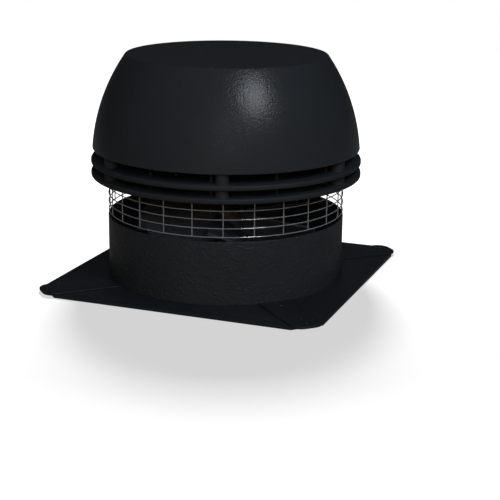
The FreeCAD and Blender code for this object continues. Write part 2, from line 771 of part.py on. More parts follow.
def make_lower_housing():
    """Round lower casing with a foot turned inward and a rounded rim."""
    outer = d.housing_radius
    foot_top = level_plate + d.housing_wall
    body = turned("housing_shell", [
        (outer - d.housing_foot, level_plate), (outer, level_plate),
        (outer, level_rim, d.rim_round), (housing_bore, level_rim, d.rim_round),
        (housing_bore, foot_top), (outer - d.housing_foot, foot_top),
    ])
    drill_circle(
        body, d.foot_rivet_radius + d.rivet_fill, foot_circle, 0, d.foot_rivet_count,
        foot_top, d.housing_wall,
    )
    holes = []
    for number, (x, z) in enumerate(saddle_screw_places()):
        holes.append(saddle_hole("housing_hole_%d" % number, x, z))
    return keep(less("housing_cut", body, joined("housing_holes", holes)), "lower_housing")


def saddle_screw_places():
    """X and Z of the four screws that hold the lower hinge bracket."""
    low = level_plate + d.saddle_bottom + d.saddle_screw_low
    places = []
    for side in (-1, 1):
        for row in (0, 1):
            places.append((side * saddle_screw_aside, low + row * d.saddle_screw_step))
    return places


def saddle_hole(name, x, z):
    """Tool that drills the casing and the saddle for one screw."""
    length = saddle_face - saddle_screw_start + d.web_thick
    radius = d.hinge_screw_radius + d.rivet_fill
    return rod(name, radius, (x, saddle_screw_start, z), length, "y")


def make_corner_strap(label, angle):
    """Flat strap on a corner of the plate, its inner end shaped to the casing."""
    body = new_body(label)
    face = d.housing_radius + d.strap_gap
    side = d.strap_width / 2
    start = root(face * face - side * side)
    outline = [
        (start, -side), (strap_end, -side, d.strap_round), (strap_end, side, d.strap_round),
        (start, side, (face, size(0))),
    ]
    raise_outline(body, lambda s: draw_outline(s, outline), level_plate, d.strap_sheet)
    for place in strap_rivet_places():
        hole = d.rivet_radius + d.rivet_fill
        drill_circle(body, hole, place, 0, size(1), level_plate + d.strap_sheet, d.strap_sheet)
    body.Placement = FreeCAD.Placement(V(), FreeCAD.Rotation(UP, angle))
    return keep(body, label)


def make_rivets():
    """Rivets of the straps, of the casing's foot and of the collar's flange."""
    under = (d.plate_drop - d.plate_sheet).value
    top = (level_plate + d.strap_sheet - d.rivet_sunk).value
    radius = d.rivet_radius.value
    strap_rivet = lathe([(0, under), (radius, under), (radius, top), (0, top)])
    rivets = []
    for place in strap_rivet_places():
        rivets.extend(around(strap_rivet, place, 45, CORNERS))
    group("strap_rivets", rivets)

    for label, radius, sheet_above, circle, angle in (
        ("housing_rivets", d.foot_rivet_radius, d.housing_wall, foot_circle, size(0)),
        ("collar_rivets", d.rivet_radius, d.collar_sheet, collar_circle, foot_rivet_turn),
    ):
        seat = (level_plate + sheet_above).value
        shank = radius.value
        outline = [(0, under), (shank, under), (shank, seat)]
        outline += [(out * shank, seat + up * shank) for out, up in RIVET_HEAD]
        group(label, around(lathe(outline), circle, angle, d.foot_rivet_count))


# The hinge at the rear of the casing.

def make_hinge_bracket_lower():
    """Saddle on the casing with two ears for the pin and a web that stops the closed head."""
    saddle = box(
        "saddle", (-d.bracket_half, saddle_back - d.ear_thick, level_plate + d.saddle_bottom),
        (d.bracket_half, saddle_face, saddle_top),
    )
    ears = []
    for number, low in enumerate((-d.bracket_half, ear_inside)):
        ears.append(box(
            "ear_%d" % number, (low, pin_y - d.ear_round, pin_z - d.ear_bottom),
            (low + d.ear_thick, pin_y + d.ear_round, pin_z),
        ))
        ears.append(rod(
            "ear_end_%d" % number, d.ear_round, (low, pin_y, pin_z), d.ear_thick, "x"
        ))
    web_face = pin_y + d.arm_half + d.side_gap
    web_top = pin_z - d.web_top
    web = box(
        "stop_web", (-ear_inside, web_face, web_top - d.web_height),
        (ear_inside, web_face + d.web_thick, web_top),
    )
    whole = joined("bracket_whole", [saddle, web] + ears)
    casing = rod("bracket_seat", d.housing_radius, (0, 0, 0), pin_z * 2)
    tools = [casing, rod(
        "bracket_pin_hole", d.pin_radius + d.rivet_fill, (-d.bracket_half * 2, pin_y, pin_z),
        d.bracket_half * 4, "x",
    )]
    for number, (x, z) in enumerate(saddle_screw_places()):
        tools.append(saddle_hole("bracket_hole_%d" % number, x, z))
    cut = less("bracket_cut", whole, joined("bracket_tools", tools))
    return keep(cut, "hinge_bracket_lower")


def make_hinge_pin():
    """Pin through both ears and both arms, with a groove and a clip at each end."""
    radius = d.pin_radius.value
    reach = (d.bracket_half + d.pin_end).value
    chamfer = d.pin_chamfer.value
    groove_in = (d.bracket_half + d.groove_step).value
    groove_out = groove_in + d.groove_width.value
    bottom = radius - d.groove_depth.value
    end = [
        (radius, groove_in), (bottom, groove_in), (bottom, groove_out), (radius, groove_out),
        (radius, reach - chamfer), (radius - chamfer, reach), (0, reach),
    ]
    pin = lathe([(out, -along) for out, along in reversed(end)] + end)
    pin.rotate(V(), V(0, 1, 0), 90)
    pin.translate(V(0, pin_y.value, pin_z.value))
    keep_shape("hinge_pin", pin)

    thick = d.pin_clip_sheet.value
    mouth = bottom * 1.5
    clips = []
    for side in (-1, 1):
        clip = ring(bottom + d.fit_gap.value, radius + d.pin_clip_reach.value, 0, thick)
        clip = clip.cut(Part.makeBox(mouth, radius * 2, thick, V(-mouth / 2, -radius * 2, 0)))
        clip.translate(V(0, 0, side * (groove_in + groove_out) / 2 - thick / 2))
        clip.rotate(V(), V(0, 1, 0), 90)
        clip.translate(V(0, pin_y.value, pin_z.value))
        clips.append(clip)
    group("pin_clips", clips)


def make_saddle_screws():
    """Screws that hold the lower hinge bracket to the casing."""
    proto = screw(d.hinge_screw_radius.value, saddle_screw_start.value, saddle_face.value)
    proto.rotate(V(), V(1, 0, 0), -90)
    screws = []
    for x, z in saddle_screw_places():
        copy = proto.copy()
        copy.translate(V(x.value, 0, z.value))
        screws.append(copy)
    group("bracket_screws", screws)


def make_hinge_bracket_upper():
    """Flange under the motor plate with two arms that turn on the pin."""
    flange_bottom = level_motor_plate - d.arm_flange
    pieces = [box(
        "arm_flange_plate", (-arm_outside, pin_y - d.flange_front, flange_bottom),
        (arm_outside, pin_y + d.flange_rear, level_motor_plate),
    )]
    for number, low in enumerate((-arm_outside, arm_inside)):
        pieces.append(box(
            "arm_%d" % number, (low, pin_y - d.arm_half, pin_z - d.arm_tail),
            (low + d.arm_width, pin_y + d.arm_half, flange_bottom),
        ))
        pieces.append(rod(
            "arm_boss_%d" % number, d.arm_boss, (low, pin_y, pin_z), d.arm_width, "x"
        ))
    pieces.append(box(
        "arm_web",
        (-arm_inside, pin_y + d.arm_half - d.stiffener_thick, pin_z + d.stiffener_rise),
        (arm_inside, pin_y + d.arm_half, flange_bottom),
    ))
    whole = joined("arms_whole", pieces)
    tools = [rod(
        "arm_pin_hole", d.pin_radius + d.fit_gap, (-d.bracket_half * 2, pin_y, pin_z),
        d.bracket_half * 4, "x",
    )]
    for number, (x, y) in enumerate(hinge_screw_places()):
        tools.append(rod(
            "arm_hole_%d" % number, d.hinge_screw_radius + d.rivet_fill,
            (x, y, flange_bottom), d.arm_flange,
        ))
    cut = less("arms_cut", whole, joined("arm_tools", tools))
    return keep(cut, "hinge_bracket_upper")


def hinge_screw_places():
    """X and Y of the screws that hold the hinge flange under the motor plate."""
    y = pin_y - d.hinge_screw_inset
    middle = (HINGE_SCREWS - 1) / 2
    return [((step - middle) * d.hinge_screw_pitch, y) for step in range(HINGE_SCREWS)]


def make_hinge_screws():
    """Screws of the hinge flange, put in from below."""
    seat = (level_motor_plate - d.arm_flange).value
    tip = (level_deck - d.blind_skin - d.screw_spare).value
    screws = []
    for x, y in hinge_screw_places():
        copy = screw(d.hinge_screw_radius.value, tip, seat)
        copy.translate(V(x.value, y.value, 0))
        screws.append(copy)
    group("hinge_screws", screws)


# The head: motor plate, cooling ring, posts, clamp screws, dome and guard.

def ring_corners(bore, level):
    """Outline of a flat ring with a rounded outer edge."""
    top = level + d.ring_thick
    return [
        (bore, level), (ring_radius, level, d.ring_round), (ring_radius, top, d.ring_round),
        (bore, top),
    ]


def make_motor_plate():
    """Round plate that closes the flue side off and carries the motor."""
    body = turned("motor_plate_body", ring_corners(d.seal_radius + d.rivet_fill, level_motor_plate))
    drill_circle(
        body, d.clamp_radius + d.screw_gap, clamp_circle, d.clamp_angle, d.clamp_count,
        level_deck, d.ring_thick,
    )
    drill_circle(
        body, clamp_head, clamp_circle, d.clamp_angle, d.clamp_count,
        level_motor_plate + d.clamp_radius, d.clamp_radius,
    )
    drill_circle(
        body, d.motor_bolt_radius + d.rivet_fill, d.motor_bolt_circle, d.motor_bolt_angle,
        size(MOTOR_BOLTS), level_deck, d.ring_thick - d.blind_skin,
    )
    clip_hole = d.clip_screw_depth + d.screw_spare
    drill_circle(
        body, d.clip_screw_radius + d.rivet_fill, clip_screw_circle, clip_angle, d.clip_count,
        level_motor_plate + clip_hole, clip_hole,
    )
    across, up = polar(gland_circle, d.gland_angle)
    hole = d.gland_thread + d.rivet_fill
    cut_outline(body, lambda s: draw_circle(s, across, up, hole), level_deck, d.ring_thick)

    def screw_holes(sketch):
        for x, y in hinge_screw_places():
            draw_circle(sketch, x, y, d.hinge_screw_radius + d.rivet_fill)

    cut_outline(body, screw_holes, level_deck - d.blind_skin, d.ring_thick - d.blind_skin)
    return keep(body, "motor_plate")


def make_cooling_ring():
    """Flat ring between the motor plate and the dome."""
    body = turned("cooling_ring_body", ring_corners(d.cooling_bore, level_cooling))
    drill_circle(
        body, d.clamp_radius + d.screw_gap, clamp_circle, d.clamp_angle, d.clamp_count,
        level_cooling + d.ring_thick, d.ring_thick,
    )
    return keep(body, "cooling_ring")


def make_posts():
    """Round spacer posts in the two air gaps."""
    for label, level, height in (
        ("spacer_posts_lower", level_deck, d.lower_gap),
        ("spacer_posts_upper", level_cooling + d.ring_thick, d.upper_gap),
    ):
        post = Part.makeCylinder(d.post_radius.value, height.value, V(0, 0, level.value))
        group(label, around(post, post_circle, d.post_angle, d.post_count))


def make_clamp_screws():
    """Long countersunk screws that clamp plate, ring and dome together."""
    radius = d.clamp_radius.value
    low = level_motor_plate.value
    high = (level_dome + d.clamp_depth).value
    head = (clamp_head - d.screw_gap / 2).value
    point = radius / 3
    proto = lathe([
        (0, low), (head, low), (head, low + d.clamp_head_edge.value), (radius, low + radius),
        (radius, high - point), (radius - point, high), (0, high),
    ])
    group("clamp_screws", around(proto, clamp_circle, d.clamp_angle, d.clamp_count))


def make_dome():
    """Domed cover: a curved side, a flat top and a flange with screw bosses."""
    foot = level_dome
    top = level_top
    inner_top = top - d.dome_wall
    mid_level = foot + d.dome_mid_height
    inner_foot = foot + d.dome_foot
    wall = d.dome_wall
    body = turned("dome_body", [
        (size(0), top), (size(0), inner_top),
        (d.dome_top_radius - wall, inner_top, (d.dome_mid_radius - wall, mid_level)),
        (dome_foot_radius - wall, inner_foot), (dome_foot_radius - d.dome_flange, inner_foot),
        (dome_foot_radius - d.dome_flange, foot),
        (dome_foot_radius, foot, (d.dome_mid_radius, mid_level)), (d.dome_top_radius, top),
    ])
    doc.recompute()
    round_edges(body, "dome_rounding", d.dome_round, [
        (d.dome_top_radius.value, top.value), (dome_foot_radius.value, foot.value),
    ])
    across, up = polar(clamp_circle, d.clamp_angle)
    boss = raise_outline(
        body, lambda s: draw_circle(s, across, up, d.boss_radius), foot, d.boss_height
    )
    repeat(body, boss, d.clamp_count)
    hole_depth = d.clamp_depth + d.screw_spare
    drill_circle(
        body, d.clamp_radius + d.rivet_fill, clamp_circle, d.clamp_angle, d.clamp_count,
        foot + hole_depth, hole_depth,
    )
    return keep(body, "dome_cover")


def round_edges(body, name, radius, places):
    """Round the circular edges of a body that lie at the given radius and height."""
    names = []
    for number, edge in enumerate(body.Shape.Edges, start=1):
        curve = edge.Curve
        if not isinstance(curve, Part.Circle):
            continue
        for wanted_radius, height in places:
            if abs(curve.Radius - wanted_radius) < 0.01 and abs(curve.Center.z - height) < 0.01:
                names.append("Edge%d" % number)
    base = body.Tip
    fillet = body.newObject("PartDesign::Fillet", name)
    fillet.Base = (base, names)
    bind(fillet, "Radius", radius)
    body.Tip = fillet
    return fillet


def hoop_levels():
    """Heights of the guard's hoops."""
    first = level_rim + d.guard_gap
    return [first + step * d.hoop_pitch for step in range(int(d.hoop_count.value))]


def make_guard():
    """Wire guard round the outlet: hoops, and uprights that touch them from inside.

    Each wire stays a solid of its own; they meet at their spot welds.
    """
    wire = d.wire_radius.value
    levels = [level.value for level in hoop_levels()]
    hoops = [Part.makeTorus(guard_radius.value, wire, V(0, 0, level), UP) for level in levels]
    upright = Part.makeCylinder(wire, levels[-1] - levels[0], V(0, 0, levels[0]))
    circle = guard_radius - 2 * d.wire_radius
    group("guard_hoops", hoops)
    group("guard_uprights", around(upright, circle, d.upright_angle, d.upright_count))


def make_guard_clips():
    """Bent clips that hold the top hoop under the motor plate, each with its screw."""
    thick = d.clip_sheet.value
    width = d.clip_width.value
    top = level_motor_plate.value
    seat = top - thick
    hoop = hoop_levels()[-1].value
    hoop_top = hoop + d.wire_radius.value
    low = hoop - d.wire_radius.value - d.clip_gap.value - thick
    start = clip_start.value
    back = clip_back.value - thick
    lip = clip_lip.value
    outline = [
        (start, top), (back + thick, top), (back + thick, low + thick), (lip, low + thick),
        (lip, hoop_top), (lip + thick, hoop_top), (lip + thick, low), (back, low),
        (back, seat), (start, seat), (start, top),
    ]
    face = Part.Face(Part.makePolygon([V(out, -width / 2, up) for out, up in outline]))
    clip = face.extrude(V(0, width, 0))
    radius = d.clip_screw_radius.value
    place = clip_screw_circle.value
    hole = Part.makeCylinder(radius + d.screw_gap.value, thick * 2, V(place, 0, seat - thick / 2))
    group("guard_clips", around(clip.cut(hole), 0, clip_angle, d.clip_count))
    proto = screw(radius, top + d.clip_screw_depth.value, seat)
    group("clip_screws", around(proto, clip_screw_circle, clip_angle, d.clip_count))


# The motor on its standoffs.

def make_motor_mounting():
    """Standoffs and bolts between the motor plate and the motor's flange."""
    bolt = d.motor_bolt_radius.value
    tube = ring(
        bolt + d.screw_gap.value, d.standoff_radius.value, level_deck.value, level_flange.value
    )
    circle = d.motor_bolt_circle
    group("motor_standoffs", around(tube, circle, d.motor_bolt_angle, MOTOR_BOLTS))
    tip = (level_motor_plate + d.blind_skin + d.screw_spare).value
    proto = screw(bolt, tip, level_shell.value)
    group("motor_bolts", around(proto, circle, d.motor_bolt_angle, MOTOR_BOLTS))


def make_motor_flange():
    """Lower end shield of the motor with the seat of the lower bearing."""
    seat = d.bearing_radius + d.rivet_fill
    low = lower_bearing_level
    high = low + d.bearing_width
    rim = seat + d.seat_wall
    body = turned("motor_flange_body", [
        (d.bearing_split, level_flange), (d.motor_flange_radius, level_flange),
        (d.motor_flange_radius, level_shell), (rim + d.seat_draft, level_shell),
        (rim, high), (seat, high), (seat, low), (d.bearing_split, low),
    ])
    drill_circle(
        body, d.motor_bolt_radius + d.rivet_fill, d.motor_bolt_circle, d.motor_bolt_angle,
        size(MOTOR_BOLTS), level_shell, d.motor_flange_thick,
    )
    return keep(body, "motor_flange")


def make_motor_shell():
    """Ribbed shell of the motor."""
    body = turned("motor_shell_body", [
        (stator_radius, level_shell), (d.motor_radius, level_shell),
        (d.motor_radius, level_cap), (stator_radius, level_cap),
    ])
    side = d.fin_thick / 2
    reach = d.motor_radius + d.fin_reach
    start = d.motor_radius - d.motor_wall / 2
    outline = [(start, -side), (reach, -side), (reach, side), (start, side)]
    fin_level = level_shell + d.fin_start
    fin = raise_outline(
        body, lambda s: draw_outline(s, outline), fin_level, level_cap - fin_level
    )
    repeat(body, fin, d.fin_count)
    return keep(body, "motor_shell")


def make_motor_cap():
    """Upper end shield of the motor with the seat of the upper bearing."""
    seat = d.bearing_radius + d.rivet_fill
    low = upper_bearing_level
    high = low + d.bearing_width
    top = level_cap + d.cap_height
    hollow = level_cap + d.cap_wall
    rim = seat + d.seat_wall
    body = turned("motor_cap_body", [
        (size(0), high), (seat, high), (seat, low), (rim, low), (rim + d.seat_draft, hollow),
        (stator_radius, hollow), (stator_radius, level_cap), (d.motor_radius, level_cap),
        (d.motor_radius, level_cap + d.cap_edge), (rim + d.seat_wall, top), (size(0), top),
    ])
    return keep(body, "motor_end_cap")


def make_stator():
    """Iron core of the stator and its two coil heads."""
    top = level_core + d.core_height
    core = turned("stator_core_body", [
        (d.core_bore, level_core), (stator_radius - d.fit_gap, level_core),
        (stator_radius - d.fit_gap, top), (d.core_bore, top),
    ])
    keep(core, "stator_core")
    coils = []
    chamfer = d.coil_chamfer.value
    inner = d.coil_inner.value
    outer = d.coil_outer.value
    for low in (level_core.value - d.coil_height.value, top.value):
        high = low + d.coil_height.value
        coils.append(lathe([
            (inner + chamfer, low), (outer - chamfer, low), (outer, low + chamfer),
            (outer, high - chamfer), (outer - chamfer, high), (inner + chamfer, high),
            (inner, high - chamfer), (inner, low + chamfer),
        ]))
    group("stator_windings", coils)


def make_bearings():
    """Rings of the two ball bearings: the outer pair stands, the inner pair turns."""
    gap = d.bearing_gap.value / 2
    split = d.bearing_split.value
    bore = (d.shaft_radius + d.rivet_fill).value
    outers = []
    inners = []
    for level in (lower_bearing_level.value, upper_bearing_level.value):
        top = level + d.bearing_width.value
        outers.append(ring(split + gap, d.bearing_radius.value, level, top))
        inners.append(ring(bore, split - gap, level, top))
    group("bearing_outer_rings", outers)
    group("bearing_inner_rings", inners)


def turned_out(shape, radius, angle):
    """Shape moved out along X, then turned about Z to its place."""
    shape.translate(V(radius, 0, 0))
    shape.rotate(V(), UP, angle)
    return shape


def make_terminal_box():
    """Terminal box on the motor's side, with its lid."""
    inner = (d.motor_radius + d.fin_reach + d.box_gap).value
    depth = d.box_depth.value
    width = d.box_width.value
    height = d.box_height.value
    wall = d.box_wall.value
    low = (level_shell + d.box_rise).value
    shell = Part.makeBox(depth, width, height, V(0, -width / 2, low))
    hollow = Part.makeBox(
        depth - wall, width - 2 * wall, height - 2 * wall,
        V(wall, -width / 2 + wall, low + wall),
    )
    lid = Part.makeBox(d.lid_thick.value, width, height, V(depth, -width / 2, low))
    keep_shape("terminal_box", turned_out(shell.cut(hollow), inner, d.box_angle.value))
    keep_shape("terminal_box_lid", turned_out(lid, inner, d.box_angle.value))


def make_cable_gland():
    """Cable gland in the motor plate: cap, hexagonal body, thread and nut."""
    below = level_motor_plate.value
    body_foot = below - d.gland_body.value
    taper_top = body_foot - d.gland_cap_straight.value
    cap_foot = taper_top - d.gland_cap_taper.value
    cap = d.gland_cap_radius.value
    bore = d.gland_bore.value
    gland = lathe([
        (0, cap_foot), ((cap + bore) / 2, cap_foot), (cap, taper_top), (cap, body_foot),
        (0, body_foot),
    ])
    thread = Part.makeCylinder(d.gland_thread.value, d.ring_thick.value, V(0, 0, below))
    nut = hexagon(d.gland_flats, d.gland_nut, level_deck.value)
    gland = gland.fuse(hexagon(d.gland_flats, d.gland_body, body_foot)).fuse(thread).fuse(nut)
    nut_top = level_deck.value + d.gland_nut.value
    hole = Part.makeCylinder(bore, nut_top - cap_foot, V(0, 0, cap_foot))
    keep_shape("cable_gland", turned_out(gland.cut(hole), gland_circle.value, d.gland_angle.value))


def make_capacitor():
    """Capacitor on the motor plate and the clip that holds it."""
    radius = d.capacitor_radius.value
    edge = d.capacitor_edge.value
    stud = d.capacitor_stud.value
    foot = level_deck.value
    top = foot + d.capacitor_height.value
    can = lathe([
        (0, foot), (radius, foot), (radius, top - edge), (radius - edge, top), (stud, top),
        (stud, top + stud), (0, top + stud),
    ])
    band = d.capacitor_clip.value
    low = foot + d.capacitor_clip_rise.value
    high = low + d.capacitor_clip_height.value
    width = d.capacitor_foot.value
    corner = V(radius + band / 2, -width / 2, foot)
    clip = ring(radius + d.fit_gap.value, radius + band, low, high)
    clip = clip.fuse(Part.makeBox(band, width, high - foot, corner))
    clip = clip.fuse(Part.makeBox(width, width, band, corner))
    place = (d.motor_flange_radius + d.capacitor_gap).value + band + radius
    keep_shape("capacitor", turned_out(can, place, d.capacitor_angle.value))
    keep_shape("capacitor_clip", turned_out(clip, place, d.capacitor_angle.value))


def make_shaft_seal():
    """Seal ring pressed into the motor plate."""
    outer = d.seal_radius
    top = level_deck + d.seal_lip
    body = turned("shaft_seal_body", [
        (d.seal_bore, level_motor_plate), (outer, level_motor_plate), (outer, level_deck),
        (outer + d.seal_flange, level_deck), (outer + d.seal_flange, top), (d.seal_bore, top),
    ])
    return keep(body, "shaft_seal")


# The rotor: shaft, core, cooling disc, sleeve and bladed wheel.

def make_shaft():
    """Motor shaft with its threaded lower end and a keyway for the wheel."""
    top = upper_bearing_level + d.bearing_width - d.shaft_end_gap
    neck = d.hub_bottom
    low = neck - d.thread_length
    edge = d.shaft_chamfer
    body = turned("rotor_shaft_body", [
        (size(0), low), (d.thread_radius - edge, low), (d.thread_radius, low + edge),
        (d.thread_radius, neck), (d.shaft_radius, neck), (d.shaft_radius, top - edge),
        (d.shaft_radius - edge, top), (size(0), top),
    ])
    side = d.key_width / 2
    inside = d.shaft_radius - d.key_seat
    outside = d.shaft_radius + d.key_rise
    outline = [(inside, -side), (outside, -side), (outside, side), (inside, side)]
    high = key_level() + d.key_length
    cut_outline(body, lambda s: draw_outline(s, outline), high, d.key_length)
    return keep(body, "rotor_shaft")


def key_level():
    """Height of the key's lower end in the wheel's hub."""
    return d.hub_bottom + (d.hub_height - d.key_length) / 2


def make_key():
    """Key between the shaft and the wheel's hub."""
    fill = d.rivet_fill
    side = d.key_width / 2 - fill
    low = key_level()
    item = box(
        "shaft_key_box", (d.shaft_radius - d.key_seat + fill, -side, low + fill),
        (d.shaft_radius + d.key_rise, side, low + d.key_length - fill),
    )
    return keep(item, "shaft_key")


def make_rotor_core():
    """Iron core of the rotor."""
    top = level_core + d.core_height
    bore = d.shaft_radius + d.rivet_fill
    body = turned("rotor_core_body", [
        (bore, level_core), (rotor_core_radius, level_core), (rotor_core_radius, top),
        (bore, top),
    ])
    return keep(body, "rotor_core")


def make_slinger():
    """Cooling disc with radial vanes on the shaft above the motor plate."""
    low = level_deck + d.slinger_rise
    face = low + d.slinger_sheet
    high = low + d.slinger_height
    bore = d.shaft_radius + d.rivet_fill
    body = turned("cooling_disc_body", [
        (bore, low), (d.slinger_radius, low), (d.slinger_radius, face), (d.slinger_hub, face),
        (d.slinger_hub, high), (bore, high),
    ])
    side = d.vane_thick / 2
    root_end = d.slinger_hub - d.vane_thick
    tip = d.slinger_radius - side
    outline = [(root_end, -side), (tip, -side), (tip, side), (root_end, side)]
    sunk = d.slinger_sheet / 2
    vane = raise_outline(
        body, lambda s: draw_outline(s, outline), low + sunk, d.slinger_height - sunk
    )
    repeat(body, vane, d.slinger_vanes)
    return keep(body, "cooling_disc")


def make_sleeve():
    """Tube round the shaft between the wheel and the motor plate, closed at both ends."""
    outer = d.sleeve_radius
    inner = outer - d.sleeve_wall
    low = level_hub_top
    high = level_motor_plate - d.sleeve_gap
    bore = d.shaft_radius + d.rivet_fill
    body = turned("shaft_sleeve_body", [
        (bore, low), (outer, low), (outer, high), (bore, high), (bore, high - d.sleeve_end),
        (inner, high - d.sleeve_end), (inner, low + d.sleeve_end), (bore, low + d.sleeve_end),
    ])
    return keep(body, "shaft_sleeve")


def blade_section(radius, chord, pitch):
    """Closed curved section of a blade, on a plane square to its radius."""
    turn = math.radians(pitch)
    camber = d.blade_camber.value
    thick = d.blade_sheet.value
    along = V(0, math.cos(turn), -math.sin(turn))
    normal = V(0, math.sin(turn), math.cos(turn))
    centre = V(radius, 0, d.blade_level.value)
    lead = centre - along * chord / 2
    trail = centre + along * chord / 2
    rise = normal * camber
    skin = normal * thick
    below = Part.Arc(lead, centre + rise, trail).toShape()
    above = Part.Arc(trail + skin, centre + rise + skin, lead + skin).toShape()
    ends = [Part.makeLine(trail, trail + skin), Part.makeLine(lead + skin, lead)]
    return Part.Wire([below, ends[0], above, ends[1]])


def make_fan_wheel():
    """Wheel: a hub with six broad twisted blades welded on."""
    hub = d.sleeve_radius.value
    low = d.hub_bottom.value
    tall = d.hub_height.value
    bore = (d.shaft_radius + d.rivet_fill).value
    tip = d.wheel_radius.value
    weld = (hub + bore) / 2
    start = bore
    end = tip + d.blade_sheet.value
    sections = []
    for share in (0.0, 0.5, 1.0):
        chord = d.blade_root_chord.value * (1 - share) + d.blade_tip_chord.value * share
        pitch = d.blade_root_pitch.value * (1 - share) + d.blade_tip_pitch.value * share
        sections.append(blade_section(start + (end - start) * share, chord, pitch))
    blade = Part.makeLoft(sections, True, False)
    blade = blade.common(ring(weld, tip, low - tall, low + 2 * tall))
    wheel = Part.makeCylinder(hub, tall, V(0, 0, low))
    wheel = wheel.multiFuse(around(blade, 0, d.blade_angle, d.blade_count))
    slot = d.key_width.value
    key_top = (d.shaft_radius + d.key_rise + d.key_spare).value
    keyway = Part.makeBox(key_top, slot, tall, V(0, -slot / 2, low))
    wheel = wheel.cut(Part.makeCylinder(bore, tall, V(0, 0, low))).cut(keyway)
    return keep_shape("fan_wheel", wheel)


def make_wheel_nut():
    """Washer and nut that hold the wheel on the shaft."""
    bore = (d.thread_radius + d.rivet_fill).value
    seat = (d.hub_bottom - d.washer_thick).value
    foot = seat - d.nut_height.value
    keep_shape("wheel_washer", ring(bore, d.washer_radius.value, seat, d.hub_bottom.value))
    nut = hexagon(d.nut_flats, d.nut_height, foot)
    keep_shape("wheel_nut", nut.cut(Part.makeCylinder(bore, d.nut_height.value, V(0, 0, foot))))


def build():
    """Make every node in the order in which the fan is put together."""
    make_base_plate()
    make_gasket()
    make_inlet_collar()
    make_lower_housing()
    for label, angle in (
        ("corner_strap_front_right", -45), ("corner_strap_rear_right", 45),
        ("corner_strap_rear_left", 135), ("corner_strap_front_left", -135),
    ):
        make_corner_strap(label, angle)
    make_rivets()
    make_hinge_bracket_lower()
    make_hinge_pin()
    make_saddle_screws()
    make_hinge_bracket_upper()
    make_hinge_screws()
    make_motor_plate()
    make_cooling_ring()
    make_posts()
    make_clamp_screws()
    make_dome()
    make_guard()
    make_guard_clips()
    make_motor_mounting()
    make_motor_flange()
    make_motor_shell()
    make_motor_cap()
    make_stator()
    make_bearings()
    make_terminal_box()
    make_cable_gland()
    make_capacitor()
    make_shaft_seal()
    make_shaft()
    make_key()
    make_rotor_core()
    make_slinger()
    make_sleeve()
    make_fan_wheel()
    make_wheel_nut()
    doc.recompute()


def check_and_write():
    """Check every object, then write one file for each node."""
    for item in doc.Objects:
        if "Invalid" in item.State or "Error" in item.State:
            raise ValueError("failed object: %s (%s)" % (item.Name, item.Label))
    for item in NODES:
        if item.Shape.isNull() or not item.Shape.isValid():
            raise ValueError("bad shape: " + item.Label)
    os.makedirs("parts", exist_ok=True)
    for item in NODES:
        item.Shape.exportStep("parts/%s.step" % item.Label)
        print("%-28s %2d solids %10.0f mm3" % (
            item.Label, len(item.Shape.Solids), item.Shape.Volume))


build()
check_and_write()
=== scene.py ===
"""Looks of the chimney fan: finishes, detailed pieces, studio and camera around the frame."""

from __future__ import annotations

import json
import logging
import math
from dataclasses import dataclass
from enum import Enum
from typing import Sequence

import bmesh
import bpy
from mathutils import Matrix, Vector
from mathutils.geometry import tessellate_polygon


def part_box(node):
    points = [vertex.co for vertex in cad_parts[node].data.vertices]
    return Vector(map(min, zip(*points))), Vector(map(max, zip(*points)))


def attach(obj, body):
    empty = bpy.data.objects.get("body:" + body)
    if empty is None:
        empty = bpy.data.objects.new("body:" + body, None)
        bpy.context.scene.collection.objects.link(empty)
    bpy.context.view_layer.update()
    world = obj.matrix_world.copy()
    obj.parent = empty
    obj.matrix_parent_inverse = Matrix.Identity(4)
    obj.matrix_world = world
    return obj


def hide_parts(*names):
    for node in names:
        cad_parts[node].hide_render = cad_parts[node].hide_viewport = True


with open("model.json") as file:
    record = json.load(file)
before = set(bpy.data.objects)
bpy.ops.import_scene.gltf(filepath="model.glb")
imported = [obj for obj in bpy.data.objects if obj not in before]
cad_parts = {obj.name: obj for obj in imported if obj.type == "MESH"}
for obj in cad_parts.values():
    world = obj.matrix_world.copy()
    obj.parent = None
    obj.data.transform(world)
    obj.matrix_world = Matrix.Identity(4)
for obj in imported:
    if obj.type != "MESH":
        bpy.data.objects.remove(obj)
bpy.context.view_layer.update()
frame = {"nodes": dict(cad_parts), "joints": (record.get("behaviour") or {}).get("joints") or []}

LOG = logging.getLogger("chimney_fan")
MM = 0.001

Point = tuple[float, float]
Corner = tuple[float, ...]
Triple = tuple[float, float, float]
Socket = bpy.types.NodeSocket

# Points closer than MERGE become one, edges shorter than THIN go, and turned forms start THIN
# from the axis. Small round forms take one of the three counts of facets.
MERGE = 2e-6
THIN = 1e-6
SHARP = math.radians(40)
EDGE_STEPS = 3
SMALL_FACETS = 24
HEAD_FACETS = 28
SHANK_FACETS = 20
CENTRE = (0.0, 0.0)


# Outlines.


def rounded(corners: Sequence[Corner], steps: int = 5) -> list[Point]:
    """Closed outline with rounded corners.

    Args:
        corners: Places as (across, up) or (across, up, radius).
        steps: Pieces of a quarter turn.

    Returns:
        The outline's points in the order of the corners.
    """
    points: list[Point] = []
    count = len(corners)
    for index, corner in enumerate(corners):
        place = Vector(corner[:2])
        radius = corner[2] if len(corner) > 2 else 0.0
        if radius <= 0.0:
            points.append((place.x, place.y))
            continue
        back = (Vector(corners[index - 1][:2]) - place).normalized()
        ahead = (Vector(corners[(index + 1) % count][:2]) - place).normalized()
        half = back.angle(ahead) / 2
        centre = place + (back + ahead).normalized() * radius / math.sin(half)
        start = place + back * radius / math.tan(half) - centre
        turn = math.pi - 2 * half
        side = -1.0 if back.x * ahead.y - back.y * ahead.x > 0 else 1.0
        pieces = max(2, round(steps * turn / (math.pi / 2)))
        for step in range(pieces + 1):
            spoke = centre + Matrix.Rotation(side * turn * step / pieces, 2) @ start
            points.append((spoke.x, spoke.y))
    return points


